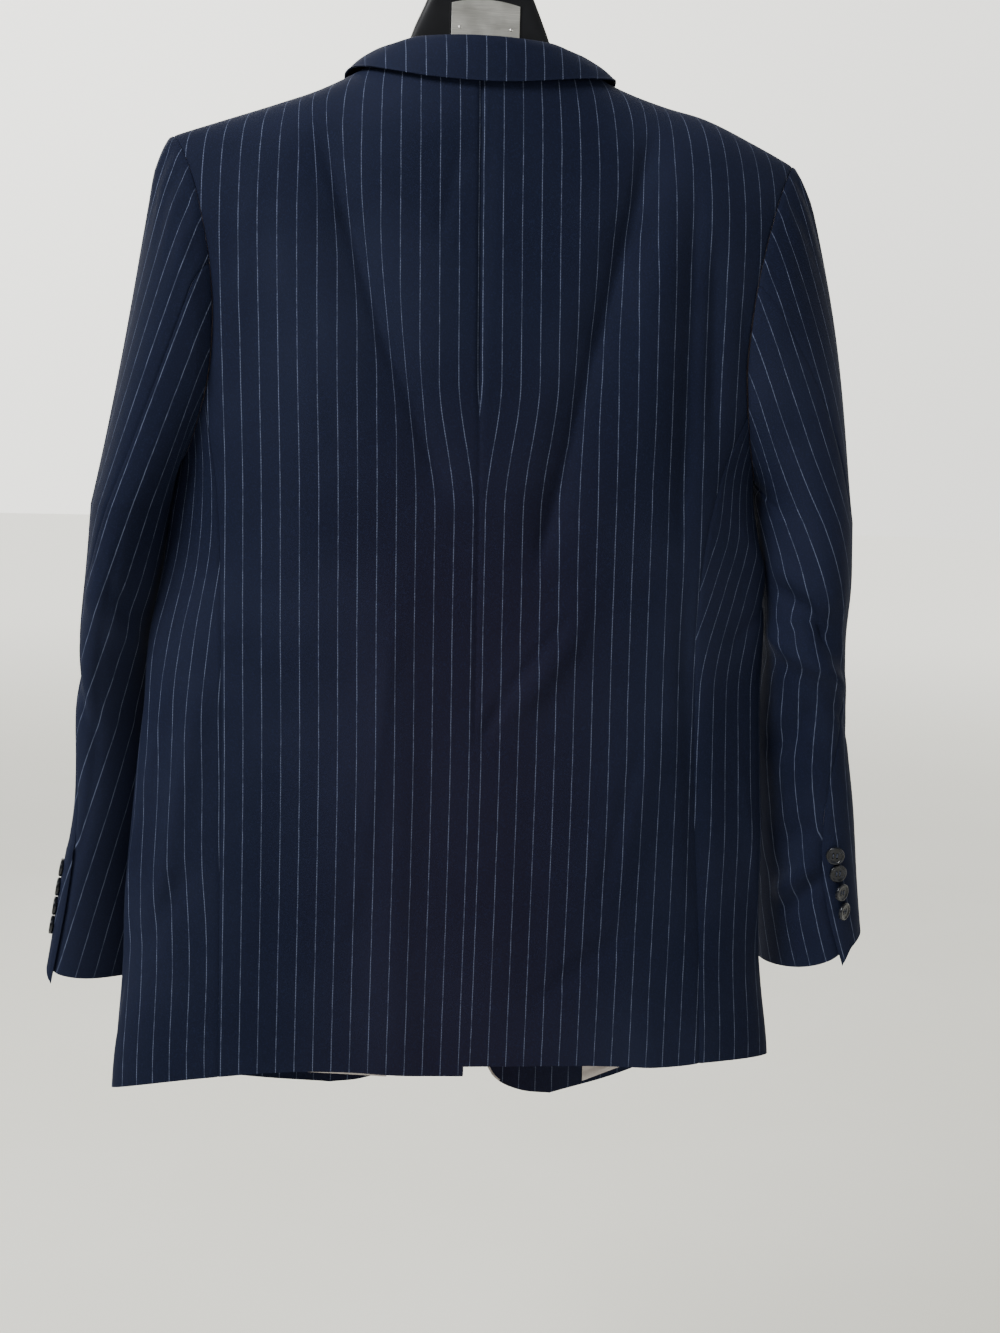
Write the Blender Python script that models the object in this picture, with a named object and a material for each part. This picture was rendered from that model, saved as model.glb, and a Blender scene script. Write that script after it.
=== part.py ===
"""Pin-striped suit jacket hanging on a broad-necked plastic hanger.

Metres, +Z up. The origin is the inside top of the hanger's hook. The back of the jacket faces -Y,
the fronts face +Y, and the wearer's left is -X. Every cloth piece is a wall: its outer points lie
on a smooth garment form, and its inner points are the same points moved in by the wall's thickness.
"""

import math

import bpy
import numpy as np

# ---- driving dimensions -----------------------------------------------------------------------
WALL = 0.0020            # cloth with its canvas
LINING_WALL = 0.0012
SEAM_GAP = 0.0003        # between the pieces at a seam
HALF_GAP = 0.66 * SEAM_GAP
LAP = 0.0007             # between a piece and the one it lies on
BACK_HEM_Z = (-0.9065, -0.9000)      # left and right back at the vent
VENT_TOP_Z = -0.634
VENT_EDGE_X = 0.0025
NECK_SIDE = {-1: (-0.0770, -0.1244), 1: (0.0815, -0.1217)}      # x, z where neck meets shoulder
NECK_BACK_Z = -0.1370
SHOULDER_POINT = {-1: (-0.2290, -0.1870), 1: (0.2520, -0.1840)}
UNDERARM = {-1: (-0.2230, -0.4320), 1: (0.2320, -0.4320)}
SCOOP_BACK = 0.0280      # how far the armhole seam curves inwards
SCOOP_FRONT = 0.0420
SHOULDER_ROUND = 0.100   # height over which the shoulder rounds from back to front
BUTTON_RADIUS = 0.0075
FRONT_BUTTON_RADIUS = 0.0100
BUTTON_THICK = 0.0032

# ---- the garment's form -----------------------------------------------------------------------
# z, half width left, half width right, depth of the back, depth of the front
BODY_ROWS = (
    (-1.000, 0.279, 0.270, 0.047, 0.050),
    (-0.905, 0.2745, 0.267, 0.048, 0.051),
    (-0.835, 0.2675, 0.256, 0.050, 0.052),
    (-0.760, 0.2645, 0.246, 0.052, 0.054),
    (-0.700, 0.2590, 0.2405, 0.054, 0.055),
    (-0.650, 0.2540, 0.2370, 0.056, 0.057),
    (-0.610, 0.2490, 0.2350, 0.057, 0.059),
    (-0.560, 0.2400, 0.2350, 0.059, 0.061),
    (-0.500, 0.2285, 0.2350, 0.062, 0.064),
    (-0.430, 0.2230, 0.2310, 0.066, 0.067),
    (-0.385, 0.2285, 0.2370, 0.067, 0.067),
    (-0.340, 0.2360, 0.2430, 0.067, 0.066),
    (-0.300, 0.2460, 0.2520, 0.066, 0.064),
    (-0.250, 0.2560, 0.2640, 0.063, 0.061),
    (-0.180, 0.2620, 0.2750, 0.060, 0.058),
    (-0.090, 0.2620, 0.2750, 0.060, 0.058),
)
# x and z along the top of the shoulders, from the left sleeve head to the right one
SHOULDER_LINE = (
    (-0.2600, -0.2000), (-0.2290, -0.1870), (-0.1940, -0.1745), (-0.1500, -0.1590),
    (-0.1200, -0.1475), (-0.0990, -0.1370), (-0.0740, -0.1225), (0.0000, -0.0850),
    (0.0760, -0.1190), (0.1080, -0.1335), (0.1473, -0.1455), (0.1750, -0.1515),
    (0.2170, -0.1680), (0.2520, -0.1840), (0.2800, -0.1990),
)
SIDE_SEAM_BACK = {       # z, x
    -1: ((-0.930, -0.1896), (-0.775, -0.1896), (-0.620, -0.1886), (-0.540, -0.1899),
         (-0.480, -0.1912), (-0.435, -0.1950), (-0.3815, -0.2038)),
    1: ((-0.930, 0.2000), (-0.843, 0.1961), (-0.767, 0.1927), (-0.685, 0.1865), (-0.604, 0.1824),
        (-0.540, 0.1798), (-0.500, 0.1815), (-0.448, 0.1900), (-0.419, 0.1980), (-0.3809, 0.2157)),
}
SIDE_SEAM_FRONT = {      # z, x
    -1: ((-0.980, -0.2100), (-0.700, -0.2040), (-0.560, -0.1950), (-0.470, -0.1990), (-0.4156, -0.2085)),
    1: ((-0.980, 0.2060), (-0.700, 0.1840), (-0.560, 0.1900), (-0.470, 0.2040), (-0.4154, 0.2185)),
}
# soft folds: x and z of both ends, half width, height outwards
BACK_FOLDS = (
    (-0.120, -0.185, -0.095, -0.265, 0.016, -0.0040),
    (-0.100, -0.250, -0.062, -0.360, 0.018, -0.0065),
    (-0.066, -0.345, -0.024, -0.445, 0.018, -0.0050),
    (-0.150, -0.230, -0.110, -0.400, 0.024, 0.0040),
    (0.130, -0.180, 0.112, -0.265, 0.016, -0.0045),
    (0.116, -0.245, 0.086, -0.345, 0.018, -0.0070),
    (0.089, -0.332, 0.048, -0.500, 0.018, -0.0060),
    (0.161, -0.210, 0.162, -0.480, 0.011, -0.0035),
    (0.179, -0.250, 0.184, -0.400, 0.009, -0.0030),
    (0.136, -0.250, 0.128, -0.420, 0.020, 0.0040),
    (-0.052, -0.490, -0.098, -0.760, 0.022, 0.0035),
    (0.088, -0.520, 0.026, -0.615, 0.014, 0.0045),
    (0.110, -0.760, 0.140, -0.630, 0.020, 0.0035),
    (0.168, -0.520, 0.196, -0.800, 0.010, -0.0040),
    (-0.206, -0.600, -0.240, -0.790, 0.010, 0.0050),
    (-0.215, -0.740, -0.255, -0.820, 0.009, -0.0035),
)
FRONT_FOLDS = (
    (-0.130, -0.260, -0.060, -0.500, 0.022, -0.0045),
    (0.130, -0.260, 0.070, -0.500, 0.022, -0.0045),
    (-0.015, -0.560, -0.060, -0.620, 0.018, 0.0030),
    (0.030, -0.560, 0.065, -0.620, 0.018, 0.0030),
)
# z, outermost x, half thickness, half length, turn in degrees, middle y, hind seam's angle
SLEEVE_ROWS = {
    -1: (
        (-0.462, -0.2905, 0.0315, 0.061, 0, 0.010, -64),
        (-0.510, -0.2935, 0.0300, 0.066, 10, 0.022, -58),
        (-0.560, -0.2985, 0.0280, 0.069, 20, 0.038, -58),
        (-0.620, -0.3035, 0.0270, 0.070, 30, 0.052, -62),
        (-0.700, -0.3050, 0.0265, 0.069, 38, 0.056, -84),
        (-0.770, -0.3172, 0.0260, 0.067, 43, 0.054, -99),
        (-0.850, -0.3305, 0.0255, 0.065, 47, 0.050, -98),
    ),
    1: (
        (-0.462, 0.3160, 0.0400, 0.060, 0, 0.010, -34),
        (-0.510, 0.3176, 0.0370, 0.063, 0, 0.012, -30),
        (-0.560, 0.3190, 0.0350, 0.062, -5, 0.016, -28),
        (-0.620, 0.3196, 0.0345, 0.060, 10, 0.022, -68),
        (-0.700, 0.3325, 0.0350, 0.058, 17, 0.028, -113),
        (-0.770, 0.3420, 0.0360, 0.056, 20, 0.031, -118),
        (-0.850, 0.3539, 0.0360, 0.0555, 25, 0.034, -103),
    ),
}
# seam angle, z, seam angle, z, half width in metres, height outwards
SLEEVE_FOLDS = {
    -1: ((-60, -0.520, -150, -0.570, 0.012, 0.0040), (-20, -0.560, -110, -0.640, 0.012, -0.0040)),
    1: ((-140, -0.490, -58, -0.548, 0.013, -0.0060), (-160, -0.550, -62, -0.590, 0.010, 0.0060),
        (-165, -0.655, -110, -0.610, 0.012, -0.0045), (-128, -0.742, -172, -0.778, 0.009, 0.0050),
        (-170, -0.732, -125, -0.712, 0.012, -0.0035)),
}
CUFF_Z = {-1: -0.8430, 1: -0.8400}
CUFF_RISE = {-1: 0.10, 1: 0.31}       # slope of the cuff's hem, up and outwards through CUFF_LEVEL_X
CUFF_CURL = {-1: 3.0, 1: 3.0}        # and how fast it steepens there
CUFF_LEVEL_X = 0.285
HEAD_OUT = {-1: 0.0095, 1: 0.0080}   # how far the sleeve head stands out
UPPER_SWELL = {-1: -0.0010, 1: 0.0180}
# armhole angles shared by the body panels and the sleeves: 0 is the shoulder, 180 the underarm
HIND_SEAM_START = -78
BACK_JOIN = -126         # where the back's side seam meets the armhole
FRONT_JOIN = 150
BACK_ARMHOLE = (-126, -110, -94, -78, -66, -54, -41, -28, -15, 0)
UNDER_ARMHOLE = (-126, -144, -162, -180, -195, -210)
FRONT_ARMHOLE = (150, 137, 124, 112, 98, 84, 70, 56, 42, 28, 15, 0)

# ---- cells, edges and tables of the single pieces ----------------------------------------------
BACK_HEM = {             # x, z
    -1: ((-0.275, -0.9265), (-0.250, -0.9215), (-0.208, -0.9107), (-0.160, -0.9040), (0.000, -0.9080)),
    1: ((0.000, -0.9000), (0.024, -0.9004), (0.102, -0.9022), (0.182, -0.9070), (0.245, -0.9040),
        (0.270, -0.9060)),
}
SIDE_CELLS = 12
SHOULDER_CELLS = 7
NECK_SHARES = (0.95, 0.86, 0.74, 0.58, 0.40, 0.20, 0.0)        # of the way to the shoulder
FRONT_NECK_SHARES = (1.0, 0.62, 0.30, 0.09, 0.0)
# z, x of the centre-back seam and of the vent's edge below it
CENTRE_SEAM = ((-0.930, 0.0030), (-0.634, 0.0045), (-0.560, 0.0034), (-0.450, 0.0020), (-0.360, 0.0),
               (-0.130, -0.0030))
FRONT_HEM_SIDE_Z = {-1: -0.9330, 1: -0.9230}
# x, z of the front edge from the hem up: the rounded corner, the cutaway and the button stand
FRONT_EDGE = {
    -1: ((-0.100, -0.9490), (-0.074, -0.9470), (-0.050, -0.9390), (-0.035, -0.9250), (-0.027, -0.9080),
         (-0.018, -0.8500), (-0.004, -0.7700), (0.012, -0.6900), (0.020, -0.6200), (0.021, -0.5500)),
    1: ((0.0900, -0.9640), (0.0649, -0.9610), (0.0500, -0.9550), (0.0400, -0.9470), (0.0330, -0.9350),
        (0.0270, -0.8700), (0.0140, -0.7800), (-0.003, -0.6900), (-0.012, -0.6200), (-0.015, -0.5500)),
}
# x, z of the roll line's top, and of the gorge's inner end, which the collar's stand meets
ROLL_TOP = {-1: (-0.0650, -0.1750), 1: (0.0690, -0.1730)}
GORGE = {-1: (-0.0705, -0.1710), 1: (0.0745, -0.1690)}
CORNER_CELLS = 6
NAME = {-1: "left", 1: "right"}
HEAD_STEPS = (0.0, 0.07, 0.16, 0.27, 0.41, 0.58, 0.78, 1.0)
ARM_CELLS = 14
MITRE = 0.30             # share of the sleeve's own normal in the wall at the armhole seam
MITRE_POWER = 4
HEAD_Z = -0.462
TOP_STARTS = (-78, -66, -54, -41, -28, -15, 0, 15, 28, 42, 56, 70, 84, 98, 112)
UNDER_STARTS = (112, 124, 137, 150, 165, 180, 198, 216, 234, 250, 266, 282)
CUFF_POINT = 0.0090      # how far the cuff's lapped corner reaches below the hem
UNDERLAP_X = (-0.030, 0.013)
LINING_TOP_Z = -0.820
FACING_X = 0.1175        # inner edge of the facing
HEM_TURN = 0.009         # cloth turned up below the lining
ROLL = 0.0030            # how far the roll of a lapel stands off the front
# height of the roll line's lower end, then x, z of the outer edge from below, and of the notch
LAPEL = {
    -1: (-0.5460, ((0.0165, -0.5490), (-0.0200, -0.4700), (-0.0740, -0.3700), (-0.1080, -0.2900),
                   (-0.1270, -0.2270)), (-0.0885, -0.2045)),
    1: (-0.4540, ((0.0165, -0.4960), (0.0330, -0.4600), (0.0800, -0.3700), (0.1120, -0.2900),
                  (0.1310, -0.2230)), (0.0935, -0.2015)),
}
LAPEL_ROWS = 12
LAPEL_COLS = 5
FALL_OFF = 0.0018        # gap between the fall and the cloth under it
FALL_BULGE = 0.0016
# share of the way from the centre back to the shoulder (0 to 1) and on to the gorge (1 to 2), then
# x of the fall's edge, its z left and right, its face, the fold's rise and its stand-off, and radius
COLLAR = (
    (0.00, 0.0000, -0.1484, -0.1484, -1, 0.0225, 0.0048, 0.0032),
    (0.20, 0.0210, -0.1480, -0.1474, -1, 0.0222, 0.0048, 0.0032),
    (0.40, 0.0420, -0.1466, -0.1448, -1, 0.0212, 0.0048, 0.0032),
    (0.58, 0.0615, -0.1437, -0.1414, -1, 0.0195, 0.0050, 0.0032),
    (0.74, 0.0790, -0.1402, -0.1382, -1, 0.0170, 0.0054, 0.0032),
    (0.86, 0.0900, -0.1375, -0.1365, -1, 0.0143, 0.0058, 0.0032),
    (0.95, 0.1005, -0.1358, -0.1342, -1, 0.0118, 0.0060, 0.0032),
    (1.00, 0.1056, -0.1000, -0.1000, 1, 0.0105, 0.0060, 0.0032),
    (1.09, 0.1070, -0.1410, -0.1375, 1, 0.0095, 0.0058, 0.0032),
    (1.30, 0.1090, -0.1540, -0.1510, 1, 0.0085, 0.0052, 0.0031),
    (1.62, 0.1120, -0.1740, -0.1710, 1, 0.0070, 0.0040, 0.0029),
    (2.00, 0.1145, -0.1985, -0.1955, 1, 0.0055, 0.0028, 0.0028),
)
COLLAR_WIDTH = {-1: 0.923, 1: 1.0}
FOLD_ANGLES = (180, 135, 90, 45, 0)
GORGE_GAP = 0.0010       # between the collar's end and the lapel's top edge
# share of the radius and of the thickness: a dished face inside a round rim
BUTTON_PROFILE = ((0.0, 0.0), (0.80, 0.0), (1.0, 0.30), (1.0, 0.70), (0.86, 1.0), (0.66, 0.72),
                  (0.0, 0.72))
BUTTON_SIDES = 14
BUTTON_OFF = 0.0010      # thread shank under a front button
# z, share of the way round from the hind seam, degrees it hangs turned, height of its back
CUFF_BUTTONS = {
    -1: ((-0.7600, 0.078, 0, 0.0004), (-0.7760, 0.080, 0, 0.0004), (-0.7920, 0.080, 0, 0.0004),
         (-0.8080, 0.080, 0, 0.0004)),
    1: ((-0.7520, 0.042, -12, 0.0011), (-0.7690, 0.047, 8, 0.0006), (-0.7861, 0.049, 30, 0.0029),
        (-0.8032, 0.047, 36, 0.0034)),
}
FRONT_BUTTONS = ((0.0030, -0.5620), (-0.0010, -0.6650))
# x, z of the top and z of the underside of the broad neck
HANGER_NECK = (
    (-0.0600, -0.1266, -0.1555), (-0.0560, -0.1175, -0.1550), (-0.0530, -0.1070, -0.1545),
    (-0.0490, -0.0965, -0.1545), (-0.0435, -0.0845, -0.1540), (-0.0385, -0.0730, -0.1530),
    (-0.0340, -0.0645, -0.1520), (-0.0260, -0.0590, -0.1510), (-0.0130, -0.0565, -0.1500),
    (0.0010, -0.0560, -0.1500), (0.0150, -0.0565, -0.1500), (0.0290, -0.0590, -0.1510),
    (0.0370, -0.0645, -0.1520), (0.0415, -0.0730, -0.1530), (0.0465, -0.0845, -0.1540),
    (0.0515, -0.0965, -0.1545), (0.0555, -0.1070, -0.1545), (0.0590, -0.1175, -0.1550),
    (0.0640, -0.1264, -0.1555),
)
NECK_HALF = 0.0100       # half the neck's thickness
ARM_HALF = 0.0145        # and of the arms' ends
ARM_ENDS = (-0.2120, 0.2300)
ARM_DROP = 0.0020        # how far an arm's end sinks below the line of the shoulder
ARM_STARTS = (-0.0790, 0.0830)
REST_GAP = 0.0010        # under the shoulders' cloth
HANGER_SIDES = 12
ARM_STEPS = 7
HOOK_RADIUS = 0.0220     # to the middle of the wire
HOOK_FROM = -58          # degrees round the hook, from its foot to its tip
HOOK_TO = 205
WIRE_RADIUS = 0.0020
PLATE = (-0.0220, 0.0300, -0.1230, -0.0800)     # x and z of its corners
PLATE_ARCH = 0.0035
PLATE_THICK = 0.0010


# ---- small helpers ----------------------------------------------------------------------------
def smooth(value, knots, values):
    """Cubic through the knots: each span is a Hermite curve whose end slopes are the mean slopes."""
    knots = np.asarray(knots, float)
    values = np.asarray(values, float)
    slopes = np.gradient(values, knots)
    value = np.clip(value, knots[0], knots[-1])
    i = np.clip(np.searchsorted(knots, value, side="right") - 1, 0, len(knots) - 2)
    span = knots[i + 1] - knots[i]
    t = (value - knots[i]) / span
    return (values[i] * (1 + 2 * t) * (1 - t) ** 2 + values[i + 1] * t * t * (3 - 2 * t)
            + span * (slopes[i] * t * (1 - t) ** 2 - slopes[i + 1] * t * t * (1 - t)))


def column(rows, index):
    """One named column of a table."""
    return [row[index] for row in rows]


def ease(value):
    """0 below 0, 1 above 1, and a smooth step between them."""
    value = np.clip(value, 0.0, 1.0)
    return value * value * (3.0 - 2.0 * value)


def even(start, end, cells):
    """Points spaced evenly from start to end."""
    return np.linspace(np.asarray(start, float), np.asarray(end, float), cells + 1)


def curve(points, cells):
    """A smooth curve through the points, cut into cells of even length."""
    points = np.asarray(points, float)
    run = np.r_[0, np.cumsum(np.linalg.norm(np.diff(points, axis=0), axis=1))]
    at = np.linspace(0, run[-1], cells + 1)
    return np.stack([smooth(at, run, points[:, k]) for k in range(points.shape[1])], axis=-1)


def unit(vectors):
    return vectors / np.maximum(np.linalg.norm(vectors, axis=-1, keepdims=True), 1e-12)


# ---- the form of the body ---------------------------------------------------------------------
def half_width(x, z):
    left = smooth(z, column(BODY_ROWS, 0), column(BODY_ROWS, 1))
    right = smooth(z, column(BODY_ROWS, 0), column(BODY_ROWS, 2))
    return np.where(x < 0, left, right)


def depth(face, z):
    """Depth of the back (face -1) or of the fronts (face +1)."""
    back = smooth(z, column(BODY_ROWS, 0), column(BODY_ROWS, 3))
    front = smooth(z, column(BODY_ROWS, 0), column(BODY_ROWS, 4))
    return np.where(face < 0, back, front)


def shoulder_z(x):
    return smooth(x, column(SHOULDER_LINE, 0), column(SHOULDER_LINE, 1))


def thinning(x, z):
    """Square of y over depth: 1 - |x / half width|^3, rounded off under the shoulder line."""
    across = 1.0 - np.abs(x / half_width(x, z)) ** 3
    up = np.clip((z - shoulder_z(x) + SHOULDER_ROUND) / SHOULDER_ROUND, 0.0, 1.2)
    return across * (1.0 - up * up)


def folds(x, z, rows):
    """Sum of soft ridges and troughs: a bell across each line that fades out at its ends."""
    total = np.zeros(np.broadcast(x, z).shape)
    for x0, z0, x1, z1, width, height in rows:
        length = math.hypot(x1 - x0, z1 - z0)
        along = ((x - x0) * (x1 - x0) + (z - z0) * (z1 - z0)) / length ** 2
        across = ((x - x0) * (z1 - z0) - (z - z0) * (x1 - x0)) / length
        fade = ease((along + 0.15) / 0.4) * ease((1.15 - along) / 0.4)
        total += height * fade * np.exp(-(across / width) ** 2)
    return total


def form(x, z, face):
    """Points of the smooth form at x, z on one face, and the normals there."""
    x, z, face = np.broadcast_arrays(np.asarray(x, float), np.asarray(z, float), face)
    deep = depth(face, z)
    y = face * deep * np.sqrt(np.maximum(thinning(x, z), 0.0))
    step = 1e-5
    slope_x = -(thinning(x + step, z) - thinning(x - step, z)) / (2 * step)
    deeper = (depth(face, z + step) - depth(face, z - step)) / (2 * step)
    slope_z = (-(thinning(x, z + step) - thinning(x, z - step)) / (2 * step)
               - 2 * y * y * deeper / deep ** 3)
    normals = unit(np.stack([slope_x, 2 * y / deep ** 2, slope_z], axis=-1))
    return np.stack([x, y, z], axis=-1), normals


def body(x, z, face, out=0.0):
    """The creased form, moved out along its normals."""
    points, normals = form(x, z, face)
    creases = np.where(np.asarray(face) < 0, folds(x, z, BACK_FOLDS), folds(x, z, FRONT_FOLDS))
    calm = ease((0.30 - np.abs(x) - 0.03) / 0.05) * ease((shoulder_z(x) - z) / 0.05)
    return points + (creases * calm + out)[..., None] * normals


def turn_to_x(turn, z):
    """x of a section at a turning angle: 0 at the centre back, +-90 at the sides, 180 in front."""
    side = np.sign(np.sin(turn))
    return side * half_width(side, z) * np.abs(np.sin(turn)) ** (2.0 / 3.0)


def x_to_turn(x, z, face):
    angle = np.arcsin(np.clip(np.abs(x / half_width(x, z)), 0, 1) ** 1.5)
    angle = np.where(face > 0, math.pi - angle, angle)
    return np.sign(x) * angle


def armhole(side, angle):
    """x, z and face of the armhole seam. Height follows a cosine, the scoop a sine^1.5."""
    angle = np.radians(np.asarray(angle, float))
    down = (1.0 - np.cos(angle)) / 2.0
    top = np.array(SHOULDER_POINT[side])
    low = np.array(UNDERARM[side])
    face = np.where(np.sin(angle) < -1e-9, -1, 1)
    scoop = np.where(face < 0, SCOOP_BACK, SCOOP_FRONT) * np.abs(np.sin(angle)) ** 1.5
    x = top[0] + (low[0] - top[0]) * down - side * scoop
    z = top[1] + (low[1] - top[1]) * down
    return x, z, face


# ---- walls and meshes -------------------------------------------------------------------------
def patch(bottom, top, left, right):
    """Coons patch: four edge curves of points, blended over a grid of rows (up) and columns."""
    bottom, top, left, right = (np.asarray(edge, float) for edge in (bottom, top, left, right))
    u = np.linspace(0, 1, len(bottom))[None, :, None]
    v = np.linspace(0, 1, len(left))[:, None, None]
    ruled = (1 - v) * bottom[None] + v * top[None] + (1 - u) * left[:, None] + u * right[:, None]
    corners = ((1 - u) * (1 - v) * bottom[0] + u * (1 - v) * bottom[-1]
               + (1 - u) * v * top[0] + u * v * top[-1])
    return ruled - corners


def pull_in(grid, sides="lrbt"):
    """Move the named edges of a grid of points inwards, square to the edge, by half a seam gap."""
    grid = grid.copy()
    pairs = {"l": (np.s_[:, 0], np.s_[:, 1]), "r": (np.s_[:, -1], np.s_[:, -2]),
             "b": (np.s_[0], np.s_[1]), "t": (np.s_[-1], np.s_[-2])}
    for name in sides:
        edge, inner = pairs[name]
        along = unit(np.gradient(grid[edge], axis=0))
        inwards = grid[inner] - grid[edge]
        inwards -= along * (inwards * along).sum(axis=-1, keepdims=True)
        grid[edge] += unit(inwards) * HALF_GAP
    return grid


def facing_out(points, faces):
    """The faces, reversed if the volume that they close is negative."""
    volume = 0.0
    for face in faces:
        for k in range(1, len(face) - 1):
            volume += np.dot(points[face[0]], np.cross(points[face[k]], points[face[k + 1]]))
    return faces if volume > 0 else [face[::-1] for face in faces]


def mesh_object(name, points, faces, material, smooth_angle=50):
    faces = facing_out(points, faces)
    mesh = bpy.data.meshes.new(name)
    mesh.from_pydata([tuple(p) for p in points], [], faces)
    mesh.materials.append(material)
    mesh.shade_smooth()
    mesh.set_sharp_from_angle(angle=math.radians(smooth_angle))
    piece = bpy.data.objects.new(name, mesh)
    bpy.context.scene.collection.objects.link(piece)
    return piece


def grid_wall(name, outer, inner, material):
    """Close two grids of points into one wall with a rim."""
    rows, cols = outer.shape[:2]
    points = np.concatenate([outer.reshape(-1, 3), inner.reshape(-1, 3)])
    index = np.arange(rows * cols).reshape(rows, cols)
    back = index + rows * cols
    faces = []
    for r in range(rows - 1):
        for c in range(cols - 1):
            a, b, d, e = index[r, c], index[r, c + 1], index[r + 1, c + 1], index[r + 1, c]
            faces.append((a, b, d, e))
            faces.append((back[r, c], back[r + 1, c], back[r + 1, c + 1], back[r, c + 1]))
    rim = ([(0, c) for c in range(cols)] + [(r, cols - 1) for r in range(1, rows)]
           + [(rows - 1, c) for c in range(cols - 2, -1, -1)] + [(r, 0) for r in range(rows - 2, 0, -1)])
    for start, end in zip(rim, rim[1:] + rim[:1]):
        # both panels of a seam cut their rims along the same diagonal
        if start[0] > end[0]:
            faces.append((index[start], back[start], index[end]))
            faces.append((back[start], back[end], index[end]))
        else:
            faces.append((index[start], back[start], back[end]))
            faces.append((index[start], back[end], index[end]))
    return mesh_object(name, points, faces, material)


def panel(name, flat, face, material, out=0.0, wall=WALL, edges="lrbt"):
    """A wall from a grid of x, z on one face of the body."""
    x, z = flat[..., 0], flat[..., 1]
    outer = pull_in(body(x, z, face, out), edges)
    inner = pull_in(body(x, z, face, out - wall), edges)
    return grid_wall(name, outer, inner, material)


def make_material(name, colour, roughness, metallic=0.0):
    material = bpy.data.materials.new(name)
    material.use_nodes = True
    shader = material.node_tree.nodes["Principled BSDF"]
    shader.inputs["Base Color"].default_value = (*colour, 1.0)
    shader.inputs["Roughness"].default_value = roughness
    shader.inputs["Metallic"].default_value = metallic
    material.diffuse_color = (*colour, 1.0)
    return material


# ---- the body's panels ------------------------------------------------------------------------
def seam_points(table, zs):
    """x, z along a seam given as a table of z and x."""
    return np.stack([smooth(zs, column(table, 0), column(table, 1)), zs], axis=-1)


def armhole_points(side, angles):
    x, z, _ = armhole(side, angles)
    return np.stack([x, z], axis=-1)


def back_hem_z(x):
    """Height of the back hem: level at the vent, lower at the left side, as the jacket hangs."""
    left = smooth(x, column(BACK_HEM[-1], 0), column(BACK_HEM[-1], 1))
    right = smooth(x, column(BACK_HEM[1], 0), column(BACK_HEM[1], 1))
    return np.where(np.asarray(x) < VENT_EDGE_X, left, right)


def neck_z(x):
    """Back neck seam: a shallow curve up to the shoulders."""
    side = np.where(np.asarray(x) < 0, -1, 1)
    reach = np.where(side < 0, NECK_SIDE[-1][0], NECK_SIDE[1][0])
    rise = np.where(side < 0, NECK_SIDE[-1][1], NECK_SIDE[1][1]) - NECK_BACK_Z
    return NECK_BACK_Z + rise * (x / reach) ** 2


def side_heights(side, table, join_angle, cells):
    """Evenly spaced z from the hem up to where a side seam meets the armhole."""
    _, z_join, _ = armhole(side, join_angle)
    x_hem = smooth(-0.92, column(table, 0), column(table, 1))
    return np.linspace(float(back_hem_z(x_hem)), float(z_join), cells + 1)


def centre_x(z):
    """The centre-back seam, and below it the vent's edge."""
    return smooth(z, column(CENTRE_SEAM, 0), column(CENTRE_SEAM, 1))


def back_panel(side, material):
    """Half of the back, from the side seam and armhole to the centre, hem to neck and shoulder."""
    zs = side_heights(side, SIDE_SEAM_BACK[side], BACK_JOIN, SIDE_CELLS)
    outer_edge = seam_points(SIDE_SEAM_BACK[side], zs)
    outer_edge[-1] = armhole_points(side, BACK_JOIN)
    outer_edge = np.vstack([outer_edge, armhole_points(side, BACK_ARMHOLE[1:])])
    centre_top = NECK_BACK_Z
    centre_hem = BACK_HEM_Z[0 if side < 0 else 1]
    low = np.linspace(centre_hem, zs[-1], SIDE_CELLS + 1)
    share = (outer_edge[SIDE_CELLS:, 1] - zs[-1]) / (outer_edge[-1, 1] - zs[-1])
    centre_z = np.r_[low, zs[-1] + (centre_top - zs[-1]) * share[1:]]
    centre = np.stack([centre_x(centre_z), centre_z], axis=-1)
    neck = np.array(NECK_SIDE[side])
    shoulder_x = np.linspace(outer_edge[-1, 0], neck[0], SHOULDER_CELLS + 1)
    shoulder = np.stack([shoulder_x, shoulder_z(shoulder_x)], axis=-1)
    neck_x = neck[0] * np.array(NECK_SHARES)
    neck_x[-1] = centre[-1, 0]
    top = np.vstack([shoulder, np.stack([neck_x, neck_z(neck_x)], axis=-1)])
    hem_x = np.linspace(outer_edge[0, 0], centre[0, 0], len(top))
    hem = np.stack([hem_x, back_hem_z(hem_x - (0.0005 if side < 0 else -0.0005))], axis=-1)
    hem[0] = outer_edge[0]
    hem[-1] = centre[0]
    grid = patch(hem, top, outer_edge, centre)
    return panel(f"back_{NAME[side]}", grid, -1, material)


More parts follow.
